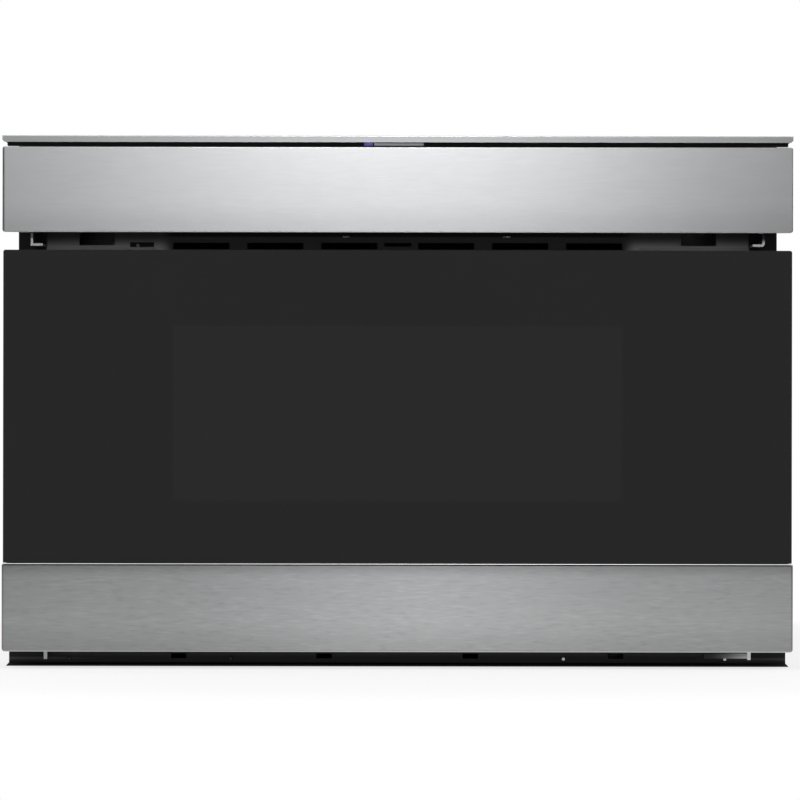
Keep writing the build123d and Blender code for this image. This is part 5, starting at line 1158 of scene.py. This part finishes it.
def pan_head(radius, height):
    """Screw head on the plane z = 0, with a short shank below."""
    shape = bmesh.new()
    reach = radius * RECESS_SHARE
    cross = bmesh.ops.create_grid(shape, x_segments=3, y_segments=3, size=reach)["verts"]
    for vert in cross:
        for axis in (0, 1):
            if abs(vert.co[axis]) < reach * 0.9:
                vert.co[axis] = math.copysign(reach * CROSS_SHARE, vert.co[axis])
    corners = [
        face
        for face in shape.faces
        if min(abs(c) for c in face.calc_center_median().xy) > reach * 0.4
    ]
    bmesh.ops.delete(shape, geom=corners, context="FACES")
    bmesh.ops.create_circle(shape, cap_ends=False, segments=28, radius=radius * DOME_SHARE)
    middle = shape.faces[:]
    open_edges = [edge for edge in shape.edges if edge.is_boundary or edge.is_wire]
    bmesh.ops.triangle_fill(shape, edges=open_edges, use_beauty=True, use_dissolve=False)
    for vert in shape.verts:
        vert.co.z = height
    sunk = bmesh.ops.extrude_face_region(shape, geom=middle)["geom"]
    for vert in of_kind(sunk, bmesh.types.BMVert):
        vert.co = Vector((vert.co.x * 0.7, vert.co.y * 0.7, height * 0.4))
    bmesh.ops.delete(shape, geom=[f for f in middle if f.is_valid], context="FACES_ONLY")
    rim = [e for e in shape.edges if e.is_boundary and e.verts[0].co.xy.length > radius * 0.7]
    for share, level in ((0.92, 0.80), (1.0, 0.45), (1.0, 0.0), (0.5, 0.0), (0.5, -height)):
        verts, rim = pull(shape, rim)
        for vert in verts:
            vert.co = Vector((*(vert.co.xy.normalized() * radius * share), height * level))
    bmesh.ops.recalc_face_normals(shape, faces=shape.faces)
    return shape


def loose_parts(node):
    """Corner points of each separate solid of a node."""
    source = merged_copy(node)
    seen, parts = set(), []
    for first in source.verts:
        part = [] if first in seen else [first]
        seen.add(first)
        for vert in part:
            for edge in vert.link_edges:
                other = edge.other_vert(vert)
                if other not in seen:
                    seen.add(other)
                    part.append(other)
        if part:
            parts.append([vert.co.copy() for vert in part])
    source.free()
    return parts


def screw_place(points):
    """Seat, outward direction, radius and height of a screw's head."""
    low = Vector(min(p[axis] for p in points) for axis in range(3))
    high = Vector(max(p[axis] for p in points) for axis in range(3))
    size, centre = high - low, (high + low) / 2
    axis = min(range(3), key=lambda a: abs(size[(a + 1) % 3] - size[(a + 2) % 3]))
    radius = size[(axis + 1) % 3] / 2

    levels = sorted({round(p[axis], 6) for p in points})
    rim = [p for p in points if (p - centre)[(axis + 1) % 3] > radius - 0.02 * MM]
    head_is_high = all(p[axis] > levels[0] + 0.02 * MM for p in rim)
    tip, seat_level = (levels[-1], levels[-2]) if head_is_high else (levels[0], levels[1])
    seat, outward = centre.copy(), Vector((0, 0, 0))
    seat[axis] = seat_level
    outward[axis] = 1 if head_is_high else -1
    return seat, outward, radius, abs(tip - seat_level)


def screw_group(name, places, finish, body, stands_for=()):
    """All screws of one kind as one piece."""
    group = bpy.data.meshes.new(name)
    whole = bmesh.new()
    for number, (seat, outward, radius, height) in enumerate(places):
        head = pan_head(radius, height)
        turn = outward.to_track_quat("Z", "Y").to_matrix().to_4x4()
        head.transform(Matrix.Translation(seat) @ turn @ Matrix.Rotation(number * 0.7, 4, "Z"))
        head.to_mesh(group)
        head.free()
        whole.from_mesh(group)
    bpy.data.meshes.remove(group)
    finish_piece(whole, name, finish, body, stands_for, flat=False)


SMALL_HEAD, FLOOR_ZONE = 2 * MM, 20 * MM
REAR_SPOTS = [(side * 268, z) for side in (-1, 1) for z in (20, 190, 360)] + [(0, 366), (0, 16)]
cabinet_places = [screw_place(points) for points in loose_parts("cabinet_screws")]
small = [place for place in cabinet_places if place[2] < SMALL_HEAD]
near_floor = [place for place in small if place[0].z < FLOOR_ZONE]
others = [place for place in cabinet_places if place[2] > SMALL_HEAD]
screw_group("cabinet_screw_heads", others, ZINC, "cabinet", ["cabinet_screws"])
rear_places = [
    (Vector((x * MM, REAR_HIGH.y, z * MM)), Vector((0, 1, 0)), 3.2 * MM, 1.6 * MM)
    for x, z in REAR_SPOTS
]
for name, places, finish in (
    # The left screws under the drawer are dark as painted shade, the right ones bright zinc.
    ("bottom_screw_heads_left", [p for p in near_floor if p[0].x < 0], SHADED_SCREW),
    ("bottom_screw_heads_right", [p for p in near_floor if p[0].x > 0], ZINC),
    # The screw in the frame's recess is darker zinc as painted shade.
    ("keyway_screw_head", [p for p in small if p[0].z > FLOOR_ZONE], SHADED_ZINC),
    ("rear_screw_heads", rear_places, ZINC),
):
    screw_group(name, places, finish, "cabinet")
drawer_places = [screw_place(points) for points in loose_parts("drawer_screws")]
screw_group("drawer_screw_heads", drawer_places, ZINC, "drawer", ["drawer_screws"])

# %% [markdown]
# ## Floor and light
# The floor is plain and pale. Light comes from the whole sky and from soft lamps above and at
# both sides. One small lamp over the camera puts the bright patch on the brushed steel, which
# fades to the sides because the sheet is satin; the steel's painted tone along X adds a painted
# highlight in the strip's middle and painted shade towards the sides. A very small blue lamp
# spreads the glow of the status light. Behind the camera the studio is dim, and glass shows it.

# %% Floor
FLOOR_REACH = 0.85
floor_finish = Finish("studio_floor")
floor_tone = floor_finish.noise(1.5, 2.0)
paper = floor_finish.blend(floor_tone, grey(0.90), grey(0.92))
sockets = {"Base Color": paper, "Roughness": 0.9}
paper_shader = floor_finish.node("ShaderNodeBsdfPrincipled", None, sockets)
seen = floor_finish.ray_is("Camera", "Glossy", "Transmission")
white = floor_finish.node("ShaderNodeEmission", None, {"Color": grey(1.0), "Strength": 1.0})
across, along, _ = floor_finish.axes()
rim = (across * across + along * along).stretch(0.55 * FLOOR_REACH**2, 0.95 * FLOOR_REACH**2)
sockets = {0: seen * (0.72 + 0.28 * rim), 1: paper_shader, 2: white}
floor_shader = floor_finish.node("ShaderNodeMixShader", None, sockets)
floor_finish.node("ShaderNodeOutputMaterial", None, {"Surface": floor_shader})
floor_shape = bmesh.new()
bmesh.ops.create_circle(floor_shape, cap_ends=True, segments=96, radius=FLOOR_REACH)
floor_mesh = bpy.data.meshes.new("studio_floor")
floor_shape.to_mesh(floor_mesh)
floor_shape.free()
floor_mesh.materials.append(floor_finish.material)
studio_floor = add_object("studio_floor", floor_mesh)
print("floor laid")


# %% Lamps and sky
def soft_lamp(name, place, aim, width, height, power, colour=(1.0, 1.0, 1.0)):
    lamp = bpy.data.lights.new(name, "AREA")
    lamp.shape = "RECTANGLE"
    lamp.size, lamp.size_y = width, height
    lamp.energy = power
    lamp.color = colour
    stand = add_object(name, lamp)
    turn = (Vector(aim) - Vector(place)).to_track_quat("-Z", "Y").to_matrix().to_4x4()
    stand.matrix_world = Matrix.Translation(place) @ turn


soft_lamp(
    "lamp_over_camera", (-0.02, -4.9, 1.5), (0.0, -0.3, 0.30), 0.2, 0.16, 37.4, (0.975, 1.0, 1.02)
)
soft_lamp("lamp_above", (0.0, -0.6, 2.6), (0.0, 0.0, 0.2), 2.4, 2.0, 22.0)
soft_lamp("lamp_left", (-2.6, -1.6, 1.6), (0.0, 0.0, 0.2), 1.2, 1.6, 12.0)
soft_lamp("lamp_right", (2.6, -1.2, 1.4), (0.0, 0.0, 0.2), 1.2, 1.6, 8.0)

glow = bpy.data.lights.new("status_glow", "POINT")
glow.color = (0.12, 0.10, 1.0)
glow.energy = 0.0004
glow.shadow_soft_size = 0.8 * MM
led_low, led_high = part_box("status_led")
glow_stand = add_object("status_glow", glow)
glow_stand.location = ((led_low.x + led_high.x) / 2, led_low.y - 6 * MM, led_low.z + 1 * MM)

world = bpy.data.worlds.new("studio")
bpy.context.scene.world = world
world.use_nodes = True
sky = Network(world.node_tree)
heading = sky.node("ShaderNodeTexCoord", output="Generated")
upward = sky.node("ShaderNodeSeparateXYZ", None, {0: heading}, "Z")
background, from_gloss = sky.ray_is("Camera", "Transmission"), sky.ray_is("Glossy")
room = 0.12 + 0.18 * upward.stretch(-0.30, 0.0) + 0.50 * upward.stretch(0.15, 0.75)
level = background + from_gloss * room + (1 - background) * (1 - from_gloss) * 0.62
sky_light = sky.node("ShaderNodeBackground", None, {"Color": grey(1.0), "Strength": level})
sky.node("ShaderNodeOutputWorld", None, {"Surface": sky_light})
bpy.context.scene.view_settings.view_transform = "Standard"
print("lamps and sky ready")
